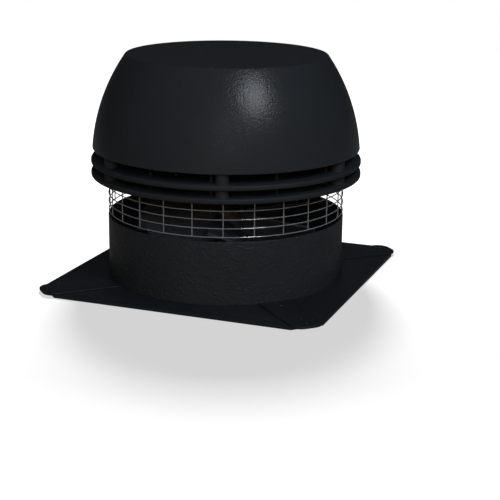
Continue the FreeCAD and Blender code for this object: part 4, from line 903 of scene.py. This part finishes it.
@dataclass
class Hinge:
    """The two hinge brackets, the pin and their fasteners, in metres and degrees."""

    half: float = 52 * MM
    edge: float = 0.8 * MM
    gap: float = 0.3 * MM
    weld_lap: float = 1 * MM
    casing_radius: float = 150.4 * MM
    saddle_step: float = 7 * MM
    saddle_drop: float = 8.5 * MM
    ear: float = 6 * MM
    ear_round: float = 10.3 * MM
    ear_drop: float = 44 * MM
    ear_foot_round: float = 2 * MM
    ear_heel_round: float = 6 * MM
    web_over: float = 7.5 * MM
    web_height: float = 22 * MM
    web_thick: float = 4 * MM
    web_edge: float = 0.48 * MM
    bead_radius: float = 1.6 * MM
    bead_end: float = 2 * MM
    bead_wobble: float = 0.25 * MM
    bead_swing: float = 2.4
    bead_steps: int = 22
    pin_radius: float = 5 * MM
    pin_hole: float = 5.05 * MM
    pin_chamfer: float = 0.8 * MM
    groove_start: float = 0.4 * MM
    groove_width: float = 1.2 * MM
    groove_depth: float = 0.8 * MM
    ring_opening: float = 55.0
    ring_width: float = 2.4 * MM
    ring_play: float = 0.05 * MM
    ring_half: float = 0.5 * MM
    ring_edge: float = 0.15 * MM
    arm_width: float = 14 * MM
    arm_half: float = 6 * MM
    arm_tail: float = 18 * MM
    arm_boss: float = 9 * MM
    arm_round: float = 2 * MM
    arm_web_level: float = 14 * MM
    flange_thick: float = 6 * MM
    flange_near_round: float = 3 * MM
    flange_far_round: float = 5 * MM
    screw: Screw = Screw(3 * MM, 4.95 * MM, 3.9 * MM, 9 * MM)
    saddle_screw_sides: Point = (-20 * MM, 20 * MM)
    saddle_screw_levels: Point = (26 * MM, 48 * MM)
    flange_screw_sides: tuple[float, ...] = (-22.5 * MM, -7.5 * MM, 7.5 * MM, 22.5 * MM)
    flange_screw_back: float = 4.5 * MM

    def __post_init__(self) -> None:
        """Find the pin."""
        joint = next(j for j in frame["joints"] if j["name"] == "head_hinge")
        self.pin_y, self.pin_z = joint["pos_m"][1:]
        self.face = self.pin_y - self.saddle_step
        self.inside = self.half - self.ear

    def pairs(
        self, piece: Workpiece, outline: Sequence[Point], outside: float, width: float
    ) -> None:
        """Add the two like flat pieces that the pin goes through.

        Args:
            piece: The bracket.
            outline: Their outline across and up.
            outside: Distance of their outer faces from the middle.
            width: Their width along the pin.
        """
        hole = circle((self.pin_y, self.pin_z), self.pin_hole)
        for start in (-outside, outside - width):
            piece.plate([outline, hole], start, start + width, self.edge, IN_YZ)

    def lower(self) -> None:
        """Saddle, ears and stop web, welded together."""
        y, z = self.pin_y, self.pin_z
        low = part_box("hinge_bracket_lower")[0].z
        swing = math.degrees(math.asin(self.half / self.casing_radius))
        seat = arc(CENTRE, self.casing_radius, 90 + swing, 90 - swing, steps=24)
        saddle = [*seat, (self.half, self.face), (-self.half, self.face)]
        saddle_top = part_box("lower_housing")[1].z - self.saddle_drop
        piece = Workpiece().plate([saddle], low, saddle_top, self.edge)
        bottom = z - self.ear_drop
        foot = rounded([
            (y - self.ear_round, bottom, self.ear_foot_round),
            (y + self.ear_round, bottom, self.ear_heel_round), (y + self.ear_round, z),
        ])
        ear = [*arc((y, z), self.ear_round, 0, 180, steps=20), *foot[:-1]]
        self.pairs(piece, ear, self.half, self.ear)
        front = y + self.arm_half + self.gap
        top = z - self.web_over
        web = rectangle(front, top - self.web_height, front + self.web_thick, top)
        reach = self.inside + self.weld_lap
        piece.plate([web], -reach, reach, self.web_edge, IN_YZ)
        self.welds(piece, bottom + self.bead_end, saddle_top - self.bead_end)
        piece.done("hinge_saddle", STEEL_COAT, "base", "hinge_bracket_lower")

    def welds(self, piece: Workpiece, bottom: float, top: float) -> None:
        """Weld beads where the ears meet the saddle.

        Args:
            piece: The bracket.
            bottom: Lower end of a bead.
            top: Upper end of a bead.
        """
        for side in (-1, 1):
            path = []
            for step in range(self.bead_steps + 1):
                level = bottom + (top - bottom) * step / self.bead_steps
                wobble = self.bead_wobble * math.sin(step * self.bead_swing)
                path.append(Vector((side * self.inside, self.face + wobble, level)))
            piece.tube(path, self.bead_radius, sides=8)

    def pin(self) -> None:
        """Hinge pin with its two open rings."""
        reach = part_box("hinge_pin")[1].x
        radius = self.pin_radius
        groove = self.half + self.groove_start
        bottom = radius - self.groove_depth
        half = [
            (radius, groove), (bottom, groove), (bottom, groove + self.groove_width),
            (radius, groove + self.groove_width), (radius, reach - self.pin_chamfer),
            (radius - self.pin_chamfer, reach), (0.0, reach),
        ]
        outline = [(r, -z) for r, z in reversed(half)] + half
        lie = Matrix.Translation((0, self.pin_y, self.pin_z))
        lie = lie @ Matrix.Rotation(math.pi / 2, 4, "Y")
        Workpiece().turn(outline, segments=40, place=lie).done("pivot_pin", ZINC, "base", "hinge_pin")
        first, last = self.ring_opening - 90, 270 - self.ring_opening
        ring = arc(CENTRE, radius + self.ring_width, first, last, steps=24)
        ring += arc(CENTRE, bottom + self.ring_play, last, first, steps=24)
        clip = Workpiece().plate([ring], -self.ring_half, self.ring_half, self.ring_edge)
        middle = groove + self.groove_width / 2
        places = [lie @ Matrix.Translation((0, 0, side * middle)) for side in (-1, 1)]
        Workpiece().copies(clip, places).done("snap_rings", ZINC, "base", "pin_clips")

    def screws(self) -> None:
        """Screws of the saddle and of the head's flange."""
        spots = [
            Matrix.Translation((x, self.face, z)) @ BACK
            for x in self.saddle_screw_sides for z in self.saddle_screw_levels
        ]
        group = Workpiece().copies(self.screw.made(), spots)
        group.done("saddle_screws", ZINC, "base", "bracket_screws")
        y = self.pin_y - self.flange_screw_back
        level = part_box("motor_plate")[0].z - self.flange_thick
        spots = [Matrix.Translation((x, y, level)) @ DOWN for x in self.flange_screw_sides]
        group = Workpiece().copies(self.screw.made(), spots)
        group.done("flange_screws", ZINC, "head", "hinge_screws")

    def upper(self) -> None:
        """Flange with the two arms of the head."""
        low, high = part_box("hinge_bracket_upper")
        under = high.z - self.flange_thick
        outside = self.inside - self.gap
        rounds = [self.flange_near_round] * 2 + [self.flange_far_round] * 2
        corners = rectangle(-outside, low.y, outside, high.y)
        flange = rounded([(*corner, edge) for corner, edge in zip(corners, rounds)])
        piece = Workpiece().plate([flange], under, high.z, self.edge)
        y, z = self.pin_y, self.pin_z
        left, right = y - self.arm_half, y + self.arm_half
        root = under + self.weld_lap
        swing = math.degrees(math.acos(self.arm_half / self.arm_boss))
        tail = rounded([
            (left, z - self.arm_tail, self.arm_round), (right, z - self.arm_tail, self.arm_round),
            (right, z - self.arm_boss),
        ])
        arm = [
            *arc((y, z), self.arm_boss, -swing, swing, steps=12), (right, root), (left, root),
            *arc((y, z), self.arm_boss, 180 - swing, 180 + swing, steps=12), *tail[:-1],
        ]
        self.pairs(piece, arm, outside, self.arm_width)
        reach = outside - self.arm_width + self.weld_lap
        web = rectangle(y + self.weld_lap, z + self.arm_web_level, right, root)
        piece.plate([web], -reach, reach, self.web_edge, IN_YZ)
        piece.done("hinge_arms", STEEL_COAT, "head", "hinge_bracket_upper")

    def build(self) -> None:
        """Make the hinge."""
        self.lower()
        self.pin()
        self.upper()
        self.screws()


@dataclass
class HeadPlates:
    """Motor plate, cooling ring, posts and the screws that clamp them, in metres and degrees."""

    edge: float = 2.0 * MM
    bore_edge: float = 0.6 * MM
    seal_hole: float = 24 * MM
    cooling_bore: float = 128 * MM
    facets: int = 256
    post_count: int = 6
    post_circle: float = 159 * MM
    post_radius: float = 8.5 * MM
    post_first: float = -10.0
    flare: float = 0.9 * MM
    flare_angles: Triple = (30.0, 60.0, 90.0)
    clamp_count: int = 12
    clamp_circle: float = 150 * MM
    clamp_radius: float = 2.0 * MM
    clamp_head: float = 3.9 * MM
    clamp_first: float = 15.0
    clamp_proud: float = 0.15 * MM
    clamp_key: float = 2.5 * MM
    clamp_key_depth: float = 1.2 * MM
    clamp_cone: Point = (1 * MM, 3 * MM)

    def ring(self, name: str, node: str, bore: float) -> None:
        """Flat ring with a rounded outer edge.

        Args:
            name: Name of the piece.
            node: The node that it stands for.
            bore: Radius of its bore.
        """
        low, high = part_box(node)
        corners = rectangle(bore, low.z, high.x, high.z)
        rounds = (self.bore_edge, self.edge, self.edge, self.bore_edge)
        outline = rounded([(*corner, edge) for corner, edge in zip(corners, rounds)])
        Workpiece().turn(outline, self.facets).done(name, RING_COAT, "head", node)

    def posts(self, name: str, node: str) -> None:
        """Cast posts that flare where they meet the plates.

        Args:
            name: Name of the piece.
            node: The node that it stands for.
        """
        low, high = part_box(node)
        flare = self.flare
        wide = self.post_radius + flare
        outline = [(0.0, low.z), (wide, low.z)]
        for angle in self.flare_angles:
            a = math.radians(angle)
            outline.append((wide - flare * math.sin(a), low.z + flare * (1 - math.cos(a))))
        outline += [(x, high.z - (z - low.z)) for x, z in reversed(outline[1:])]
        outline.append((0.0, high.z))
        post = Workpiece().turn(outline, segments=40)
        places = spread(self.post_count, self.post_first, self.post_circle)
        Workpiece().copies(post, places).done(name, RING_COAT, "head", node)

    def clamp_screws(self) -> None:
        """Long screws, with socket heads sunk in the motor plate's underside."""
        low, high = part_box("clamp_screws")
        length = high.z - low.z
        head, radius = self.clamp_head, self.clamp_radius
        start, end = self.clamp_cone
        outlines = [circle(CENTRE, head, SMALL_FACETS), hexagon(self.clamp_key)]
        screw = Workpiece().plate(outlines, -self.clamp_proud, self.clamp_key_depth)
        screw.turn([
            (0, start), (head, start), (radius, end), (radius, length), (0, length),
        ], SHANK_FACETS)
        places = spread(self.clamp_count, self.clamp_first, self.clamp_circle, low.z)
        screws = Workpiece().copies(screw, places)
        screws.done("long_screws", PAINTED_ZINC, "head", "clamp_screws")

    def build(self) -> None:
        """Make the plates, posts and screws."""
        self.ring("lower_plate", "motor_plate", self.seal_hole)
        self.ring("air_ring", "cooling_ring", self.cooling_bore)
        self.posts("short_posts", "spacer_posts_lower")
        self.posts("tall_posts", "spacer_posts_upper")
        self.clamp_screws()


@dataclass
class Dome:
    """Domed cover, in metres."""

    top_radius: float = 126.3 * MM
    mid_radius: float = 158.6 * MM
    mid_height: float = 53.2 * MM
    wall: float = 2.5 * MM
    flange: float = 26 * MM
    foot: float = 3 * MM
    edge: float = 2.5 * MM
    flange_edge: float = 0.6 * MM
    inner_round: float = 1.0 * MM
    facets: int = 320
    steps: int = 48

    def side(self, inset: float, low: float, high: float) -> list[Point]:
        """Curved side from the foot up, as an arc through three places.

        Args:
            inset: Distance inside the outer skin.
            low: Height where the arc starts.
            high: Height where it ends.

        Returns:
            Points as (radius, height).
        """
        box_low, box_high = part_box("dome_cover")
        a = Vector((box_high.x, box_low.z))
        b = Vector((self.mid_radius, box_low.z + self.mid_height))
        c = Vector((self.top_radius, box_high.z))
        one, two = b - a, c - b
        turn = one.x * two.y - one.y * two.x
        reach = ((c - a).dot(two)) / (2 * turn)
        middle = (a + b) / 2 + Vector((-one.y, one.x)) * reach
        radius = (a - middle).length - inset
        first = math.degrees(math.asin((low - middle.y) / radius))
        last = math.degrees(math.asin((high - middle.y) / radius))
        return arc((middle.x, middle.y), radius, first, last, self.steps)

    def build(self) -> None:
        """Turn the dome with its inner side and its flange."""
        low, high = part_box("dome_cover")
        outer = self.side(0.0, low.z, high.z)
        inner = self.side(self.wall, low.z + self.foot, high.z - self.wall)
        corners: list[Corner] = [(0.0, high.z)]
        corners += [(*outer[-1], self.edge), *reversed(outer[1:-1]), (*outer[0], self.edge / 2)]
        lip = outer[0][0] - self.flange
        corners += [(lip, level, self.flange_edge) for level in (low.z, low.z + self.foot)]
        corners += [(*inner[0], self.inner_round), *inner[1:], (0.0, high.z - self.wall)]
        piece = Workpiece().turn(rounded(corners, steps=6), self.facets)
        piece.done("domed_cover", CAST_COAT, "head", "dome_cover")


@dataclass
class Guard:
    """Welded wire guard with its clips, in metres and degrees.

    The middles of crossing wires lie lap apart, and the clips come down clip_back behind the
    hoops, both in wire radii.
    """

    wire: float = 0.7 * MM
    lap: float = 1.8
    radius: float = 149.5 * MM
    pitch: float = 10.7 * MM
    hoops: int = 5
    uprights: int = 25
    first: float = 2.4
    overhang: float = 0.3 * MM
    nugget: float = 0.95 * MM
    nugget_bands: tuple[float, ...] = (-0.9, -0.3, 0.3, 0.9)
    clip_count: int = 5
    clip_width: float = 9 * MM
    clip_sheet: float = 1.5 * MM
    clip_reach: float = 17 * MM
    clip_gap: float = 0.2 * MM
    clip_back: float = 4.0
    clip_edge: float = 0.25 * MM
    bend_inner: float = 0.5 * MM
    bend_outer: float = 1.8 * MM
    bend_top: float = 2 * MM
    screw: Screw = Screw(1.5 * MM, 2.5 * MM, 1.9 * MM, 4 * MM)

    def levels(self) -> list[float]:
        """Heights of the hoops."""
        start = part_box("guard_hoops")[0].z + self.wire
        return [start + self.pitch * n for n in range(self.hoops)]

    def wires(self) -> None:
        """Hoops, uprights and the squeezed metal of their welds."""
        piece = Workpiece()
        levels = self.levels()
        for level in levels:
            path = [Vector((*place, level)) for place in circle(CENTRE, self.radius, steps=200)]
            piece.tube(path, self.wire, True)
        ends = (levels[0] - self.overhang, levels[-1] + self.overhang)
        bar = Workpiece().tube([Vector((0, 0, level)) for level in ends], self.wire)
        inner = self.radius - self.lap * self.wire
        piece.copies(bar, spread(self.uprights, self.first, inner))
        bands = [(math.cos(a), math.sin(a)) for a in self.nugget_bands]
        profile = [(0.0, -1.0), *bands, (0.0, 1.0)]
        nugget = Workpiece().turn([(r * self.nugget, z * self.nugget) for r, z in profile], segments=10)
        seam = self.radius - self.lap / 2 * self.wire
        rows = [spread(self.uprights, self.first, seam, level) for level in levels]
        piece.copies(nugget, [spot for column in zip(*rows) for spot in column])
        piece.done("guard_wires", WIRE, "head", "guard_hoops", "guard_uprights")

    def clips(self) -> None:
        """Bent clips under the motor plate, with their screws."""
        low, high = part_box("guard_clips")
        sheet, bend = self.clip_sheet, self.bend_inner
        bottom, top = low.z, high.z
        lip = self.radius + self.wire + self.clip_gap
        lip_top = self.levels()[-1] + self.wire
        start = lip + sheet - self.clip_reach
        back = self.radius - self.clip_back * self.wire - self.clip_gap
        outline = rounded([
            (start, top), (back, top, self.bend_top), (back, bottom + sheet, bend),
            (lip, bottom + sheet, bend), (lip, lip_top), (lip + sheet, lip_top),
            (lip + sheet, bottom, self.bend_outer), (back - sheet, bottom, self.bend_outer),
            (back - sheet, top - sheet, bend), (start, top - sheet),
        ], steps=4)
        half = self.clip_width / 2
        clip = Workpiece().plate([outline], -half, half, self.clip_edge, IN_XZ)
        first = self.first + 180 / self.uprights
        clips = Workpiece().copies(clip, spread(self.clip_count, first))
        clips.done("hoop_clips", WIRE, "head", "guard_clips")
        seats = spread(self.clip_count, first, (start + back) / 2, top - sheet)
        screws = Workpiece().copies(self.screw.made(), [seat @ DOWN for seat in seats])
        screws.done("small_screws", ZINC, "head", "clip_screws")

    def build(self) -> None:
        """Make the guard."""
        self.wires()
        self.clips()


@dataclass
class Wheel:
    """Bladed wheel with its hub, sleeve and nut, in metres and degrees."""

    hub: float = 20.5 * MM
    hub_round: float = 2 * MM
    seam_round: float = 0.6 * MM
    sleeve_round: float = 1.2 * MM
    bore: float = 7.03 * MM
    root_share: float = 0.8
    tip: float = 118 * MM
    sheet: float = 2.5 * MM
    root_chord: float = 46 * MM
    tip_chord: float = 74 * MM
    root_pitch: float = 48.0
    tip_pitch: float = 25.0
    camber: float = 5 * MM
    middle: float = 66 * MM
    first: float = 56.5
    blades: int = 6
    across: int = 20
    along: int = 24
    halvings: int = 24
    bead_radius: float = 1.5 * MM
    bead_place: float = 0.12
    bead_reach: float = 0.9
    bead_side: float = 0.98
    bead_steps: int = 24
    thread_bore: float = 6.03 * MM
    washer_edges: Point = (0.2 * MM, 0.3 * MM)
    nut_flats: float = 19 * MM
    nut_edge: float = 0.7 * MM
    facets: int = 72

    def spot(self, share: float, chord_share: float, lift: float) -> Vector:
        """Point of a blade whose radius runs along X.

        Args:
            share: 0 at the shaft, 1 past the tip.
            chord_share: -1 at the leading edge, 1 at the trailing edge.
            lift: Distance along the section's normal.

        Returns:
            The point, before the wheel's turn.
        """
        chord = self.root_chord * (1 - share) + self.tip_chord * share
        pitch = math.radians(self.root_pitch * (1 - share) + self.tip_pitch * share)
        half = chord / 2
        bow = (half * half + self.camber * self.camber) / (2 * self.camber)
        reach = math.asin(half / bow)
        place = bow * math.sin(reach * chord_share)
        rise = bow * math.cos(reach * chord_share) - bow + self.camber
        direction = Vector((0, math.cos(pitch), -math.sin(pitch)))
        normal = Vector((0, math.sin(pitch), math.cos(pitch)))
        radius = self.bore + (self.tip + self.sheet - self.bore) * share
        out = direction * place + normal * (rise + lift)
        return Vector((radius, out.y, self.middle + out.z))

    def row(self, chord_share: float, lift: float) -> list[Vector]:
        """Points from the hub to the tip circle along one line of the blade.

        Args:
            chord_share: -1 at the leading edge, 1 at the trailing edge.
            lift: Distance along the section's normal.

        Returns:
            The points, from the hub outward.
        """
        root = self.hub * self.root_share
        start = (root - self.bore) / (self.tip + self.sheet - self.bore)
        low, high = start, 1.0
        for _ in range(self.halvings):
            share = (low + high) / 2
            place = self.spot(share, chord_share, lift)
            if math.hypot(place.x, place.y) > self.tip:
                high = share
            else:
                low = share
        shares = [start + (low - start) * step / self.along for step in range(self.along + 1)]
        return [self.spot(share, chord_share, lift) for share in shares]

    def blade(self) -> Workpiece:
        """Make one blade with rounded leading and trailing edges.

        Returns:
            The blade.
        """
        shares = [-1 + 2 * step / self.across for step in range(self.across + 1)]
        flat = 1 - 0.5 * self.sheet / self.tip_chord
        quarters = (0.25 * self.sheet, 0.75 * self.sheet)
        rows = [self.row(share * flat, self.sheet) for share in shares]
        rows += [self.row(1.0, lift) for lift in reversed(quarters)]
        rows += [self.row(-share * flat, 0.0) for share in shares]
        rows += [self.row(-1.0, lift) for lift in quarters]
        rings = [list(column) for column in zip(*rows)]
        piece = Workpiece()
        piece.loops(rings, False)
        for ring in (rings[0], rings[-1]):
            verts = [piece.mesh.verts.new(place) for place in ring]
            for step in range(len(verts) // 2 - 1):
                strip = (step, step + 1, -2 - step, -1 - step)
                piece.mesh.faces.new([verts[index] for index in strip])
        return piece

    def bead(self) -> Workpiece:
        """Make the weld beads along both sides of a blade's root.

        Returns:
            The beads.
        """
        piece = Workpiece()
        for lift in (0.0, self.sheet):
            path = []
            for step in range(self.bead_steps + 1):
                share = -self.bead_reach + 2 * self.bead_reach * step / self.bead_steps
                place = self.spot(self.bead_place, share, lift)
                if abs(place.y) <= self.hub * self.bead_side:
                    place.x = math.sqrt(self.hub**2 - place.y**2)
                    path.append(place)
            piece.tube(path, self.bead_radius, sides=8)
        return piece

    def build(self) -> None:
        """Make the wheel, the sleeve above it and the fasteners below it."""
        bore, hub = self.bore, self.hub
        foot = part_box("wheel_washer")[1].z
        top, sleeve_top = (corner.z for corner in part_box("shaft_sleeve"))
        wheel = Workpiece().turn(rounded([
            (bore, foot), (hub, foot, self.hub_round), (hub, top, self.seam_round), (bore, top),
        ]), self.facets)
        places = spread(self.blades, self.first)
        wheel.copies(self.blade(), places)
        wheel.copies(self.bead(), places)
        wheel.done("bladed_wheel", WHEEL_METAL, "rotor", "fan_wheel")
        # The sleeve's colour carries painted shade.
        column = Workpiece().turn(rounded([
            (bore, top), (hub, top, self.seam_round), (hub, sleeve_top, self.sleeve_round),
            (bore, sleeve_top),
        ]), self.facets)
        column.done("column_sleeve", SHADED_SLEEVE_METAL, "rotor", "shaft_sleeve")
        self.fasteners()

    def fasteners(self) -> None:
        """Washer and nut under the hub."""
        low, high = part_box("wheel_washer")
        bore = self.thread_bore
        near, far = self.washer_edges
        washer = rounded([
            (bore, low.z, near), (high.x, low.z, far), (high.x, high.z, far), (bore, high.z, near),
        ], steps=3)
        Workpiece().turn(washer).done("flat_washer", ZINC, "rotor", "wheel_washer")
        low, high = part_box("wheel_nut")
        outlines = [hexagon(self.nut_flats), circle(CENTRE, bore)]
        nut = Workpiece().plate(outlines, low.z, high.z, self.nut_edge)
        nut.done("hexagon_nut", ZINC, "rotor", "wheel_nut")


@dataclass
class Motor:
    """Motor, its mounting and its electrics, which keep their solids."""

    finishes: tuple[tuple[str, Finish], ...] = (
        ("motor_standoffs", ZINC), ("motor_bolts", ZINC), ("motor_flange", MOTOR_CAST),
        ("motor_shell", MOTOR_CAST), ("motor_end_cap", MOTOR_CAST), ("stator_core", CORE_IRON),
        ("stator_windings", COPPER), ("bearing_outer_rings", GROUND_STEEL),
        ("bearing_inner_rings", GROUND_STEEL), ("terminal_box", BLACK_PLASTIC),
        ("terminal_box_lid", BLACK_PLASTIC), ("cable_gland", BLACK_PLASTIC),
        ("capacitor", CAN), ("capacitor_clip", ZINC), ("shaft_seal", RUBBER),
        ("rotor_shaft", GROUND_STEEL), ("shaft_key", GROUND_STEEL), ("rotor_core", CORE_IRON),
        ("cooling_disc", MOTOR_CAST),
    )

    def build(self) -> None:
        """Dress each solid of the motor."""
        for node, finish in self.finishes:
            dress(node, finish)


class Reach(Enum):
    """What a lamp lights."""

    FAN = "everything but the floor"
    FLOOR = "the floor alone"


@dataclass(frozen=True)
class Lamp:
    """Square lamp that faces the middle of the fan.

    Attributes:
        name: Its name.
        reach: What it lights.
        azimuth: Degrees to the right of the camera's side of the fan.
        height: Degrees above the floor.
        distance: Distance from the fan's middle, in metres.
        spread: Side of the square, in metres.
        power: Watts.
        colour: Colour of its light.
        mirrored: Whether the finishes mirror it.
    """

    name: str
    reach: Reach
    azimuth: float
    height: float
    distance: float
    spread: float
    power: float
    colour: Triple = (1.0, 1.0, 1.0)
    mirrored: bool = True

    def made(self) -> bpy.types.Object:
        """Make the lamp where the scene begins.

        Returns:
            The lamp's object.
        """
        lamp = bpy.data.lights.new(self.name, "AREA")
        lamp.shape = "SQUARE"
        lamp.size = self.spread
        lamp.energy = self.power
        lamp.color = self.colour
        holder = bpy.data.objects.new(self.name, lamp)
        holder.visible_glossy = self.mirrored
        return holder


@dataclass
class Studio:
    """Floor, lamps and camera, in metres and degrees."""

    camera_place: Triple = (0.6089, -1.5350, 0.5101)
    camera_turn: float = 20.54
    camera_tilt: float = 16.22
    camera_roll: float = 0.66
    lens: float = 95.25
    sensor: float = 36.0
    floor_size: float = 12.0
    floor_drop: float = 0.2 * MM
    floor_roughness: float = 0.9
    floor_grey: float = 0.45
    floor_dim: float = 0.05
    floor_glow: float = 0.645
    glow_reach: Point = (0.42, 0.80)
    # Radius of the painted shade on the floor: a dark disc under the fan, where the flue's mouth would
    # be.
    flue_shade_reach: float = 0.13
    mirrored: float = 0.05
    ambient: float = 0.02
    middle: float = 0.16
    lamps: tuple[Lamp, ...] = (
        Lamp("key", Reach.FAN, 31.0, 42.0, 1.9, 0.56, 12.4, (0.88, 0.93, 1.0)),
        Lamp("front", Reach.FAN, 2.0, 25.0, 3.0, 1.2, 45.0, (0.65, 0.81, 0.98), False),
        Lamp("low", Reach.FAN, -4.0, 5.0, 3.0, 1.2, 22.0, (1.0, 0.60, 0.25), False),
        Lamp("back", Reach.FAN, 175.0, 4.0, 3.0, 1.6, 56.0, (0.80, 0.90, 1.0), False),
        Lamp("back_left", Reach.FAN, -145.0, 4.0, 3.0, 1.6, 24.0, (0.80, 0.90, 1.0), False),
        Lamp("side", Reach.FAN, 80.0, 25.0, 3.0, 1.2, 6.0, (0.5, 0.8, 1.0), False),
        Lamp("rear", Reach.FLOOR, 181.0, 51.0, 1.3, 0.28, 30.8),
    )

    def camera(self) -> None:
        """Camera of the photo."""
        data = bpy.data.cameras.new("camera")
        data.lens = self.lens
        data.sensor_width = self.sensor
        data.sensor_fit = "HORIZONTAL"
        camera = bpy.data.objects.new("camera", data)
        look = Matrix.Translation(self.camera_place)
        turns = ((self.camera_turn, "Z"), (90 - self.camera_tilt, "X"), (self.camera_roll, "Z"))
        for angle, axis in turns:
            look = look @ Matrix.Rotation(math.radians(angle), 4, axis)
        camera.matrix_world = look
        bpy.context.scene.collection.objects.link(camera)
        bpy.context.scene.camera = camera

    def floor_material(self) -> bpy.types.Material:
        """White that keeps the fan's shadow, with painted shade: a dark disc under the fan where the
        flue's mouth is.

        Returns:
            The material.
        """
        material = bpy.data.materials.new("studio_floor")
        tree = ShaderTree(material)
        tree.set(Roughness=self.floor_roughness, Specular_IOR_Level=0.0)
        tree.set(Emission_Color=(1.0, 1.0, 1.0, 1.0))
        away = tree.step("VectorMath", "Value", {0: tree.place()}, operation="LENGTH")
        # Painted shade: near the axis, under the fan, the camera sees no glow and the floor takes the
        # dim grey.
        outside = tree.maths("GREATER_THAN", away, self.flue_shade_reach)
        pale = tree.maths("MULTIPLY", tree.ray("Is Camera Ray"), outside)
        glow = tree.ranged(away, self.glow_reach, (self.floor_glow, 1.0))
        seen = tree.maths("MULTIPLY", glow, pale)
        for kind in ("Is Glossy Ray", "Is Transmission Ray"):
            seen = tree.maths("MULTIPLY_ADD", tree.ray(kind), self.mirrored, seen)
        tree.drive(seen, "Emission Strength")
        # Outside the disc the camera sees the pale grey. The dim grey is the disc's painted shade and
        # the floor's colour for every other ray.
        tone = tree.tint(pale, (self.floor_dim,) * 3, (self.floor_grey,) * 3)
        tree.drive(tone, "Base Color")
        return material

    def floor(self) -> bpy.types.Object:
        """Make the floor.

        Returns:
            The floor.
        """
        grid = bmesh.new()
        bmesh.ops.create_grid(grid, x_segments=1, y_segments=1, size=self.floor_size)
        data = bpy.data.meshes.new("floor")
        grid.to_mesh(data)
        grid.free()
        data.materials.append(self.floor_material())
        floor = bpy.data.objects.new("floor", data)
        floor.location.z = -self.floor_drop
        bpy.context.scene.collection.objects.link(floor)
        return floor

    def world(self) -> None:
        """Even dim light, white where the camera sees it."""
        world = bpy.data.worlds.new("studio")
        bpy.context.scene.world = world
        tree = ShaderTree(world, "Background")
        tree.set(Color=(1.0, 1.0, 1.0, 1.0))
        seen = tree.ranged(tree.ray("Is Camera Ray"), (0.0, 1.0), (self.ambient, 1.0))
        tree.drive(seen, "Strength")

    def light(self, floor: bpy.types.Object) -> None:
        """Hang the lamps and say what each of them lights.

        Args:
            floor: The studio's floor.
        """
        for lamp in self.lamps:
            holder = lamp.made()
            turn = Matrix.Rotation(math.radians(self.camera_turn - 90 + lamp.azimuth), 3, "Z")
            rise = Matrix.Rotation(-math.radians(lamp.height), 3, "Y")
            way = turn @ rise @ Vector((1, 0, 0))
            place = Vector((0, 0, self.middle)) + way * lamp.distance
            aim = way.to_track_quat("Z", "Y").to_matrix().to_4x4()
            holder.matrix_world = Matrix.Translation(place) @ aim
            bpy.context.scene.collection.objects.link(holder)
            lit = bpy.data.collections.new(lamp.name + "_lights")
            lit.objects.link(floor)
            if lamp.reach is Reach.FAN:
                lit.collection_objects[0].light_linking.link_state = "EXCLUDE"
            holder.light_linking.receiver_collection = lit

    def build(self) -> None:
        """Set up the studio."""
        bpy.context.scene.view_settings.view_transform = "Standard"
        self.camera()
        self.world()
        self.light(self.floor())


def main() -> None:
    """Build the studio and every sub-assembly in order."""
    logging.basicConfig(level=logging.INFO, format="%(name)s: %(message)s")
    for part in (
        Studio(), BaseSheetwork(), Casing(), Hinge(), HeadPlates(), Dome(), Guard(), Wheel(),
        Motor(),
    ):
        LOG.info("building %s", type(part).__name__)
        part.build()


if __name__ == "__main__":
    main()
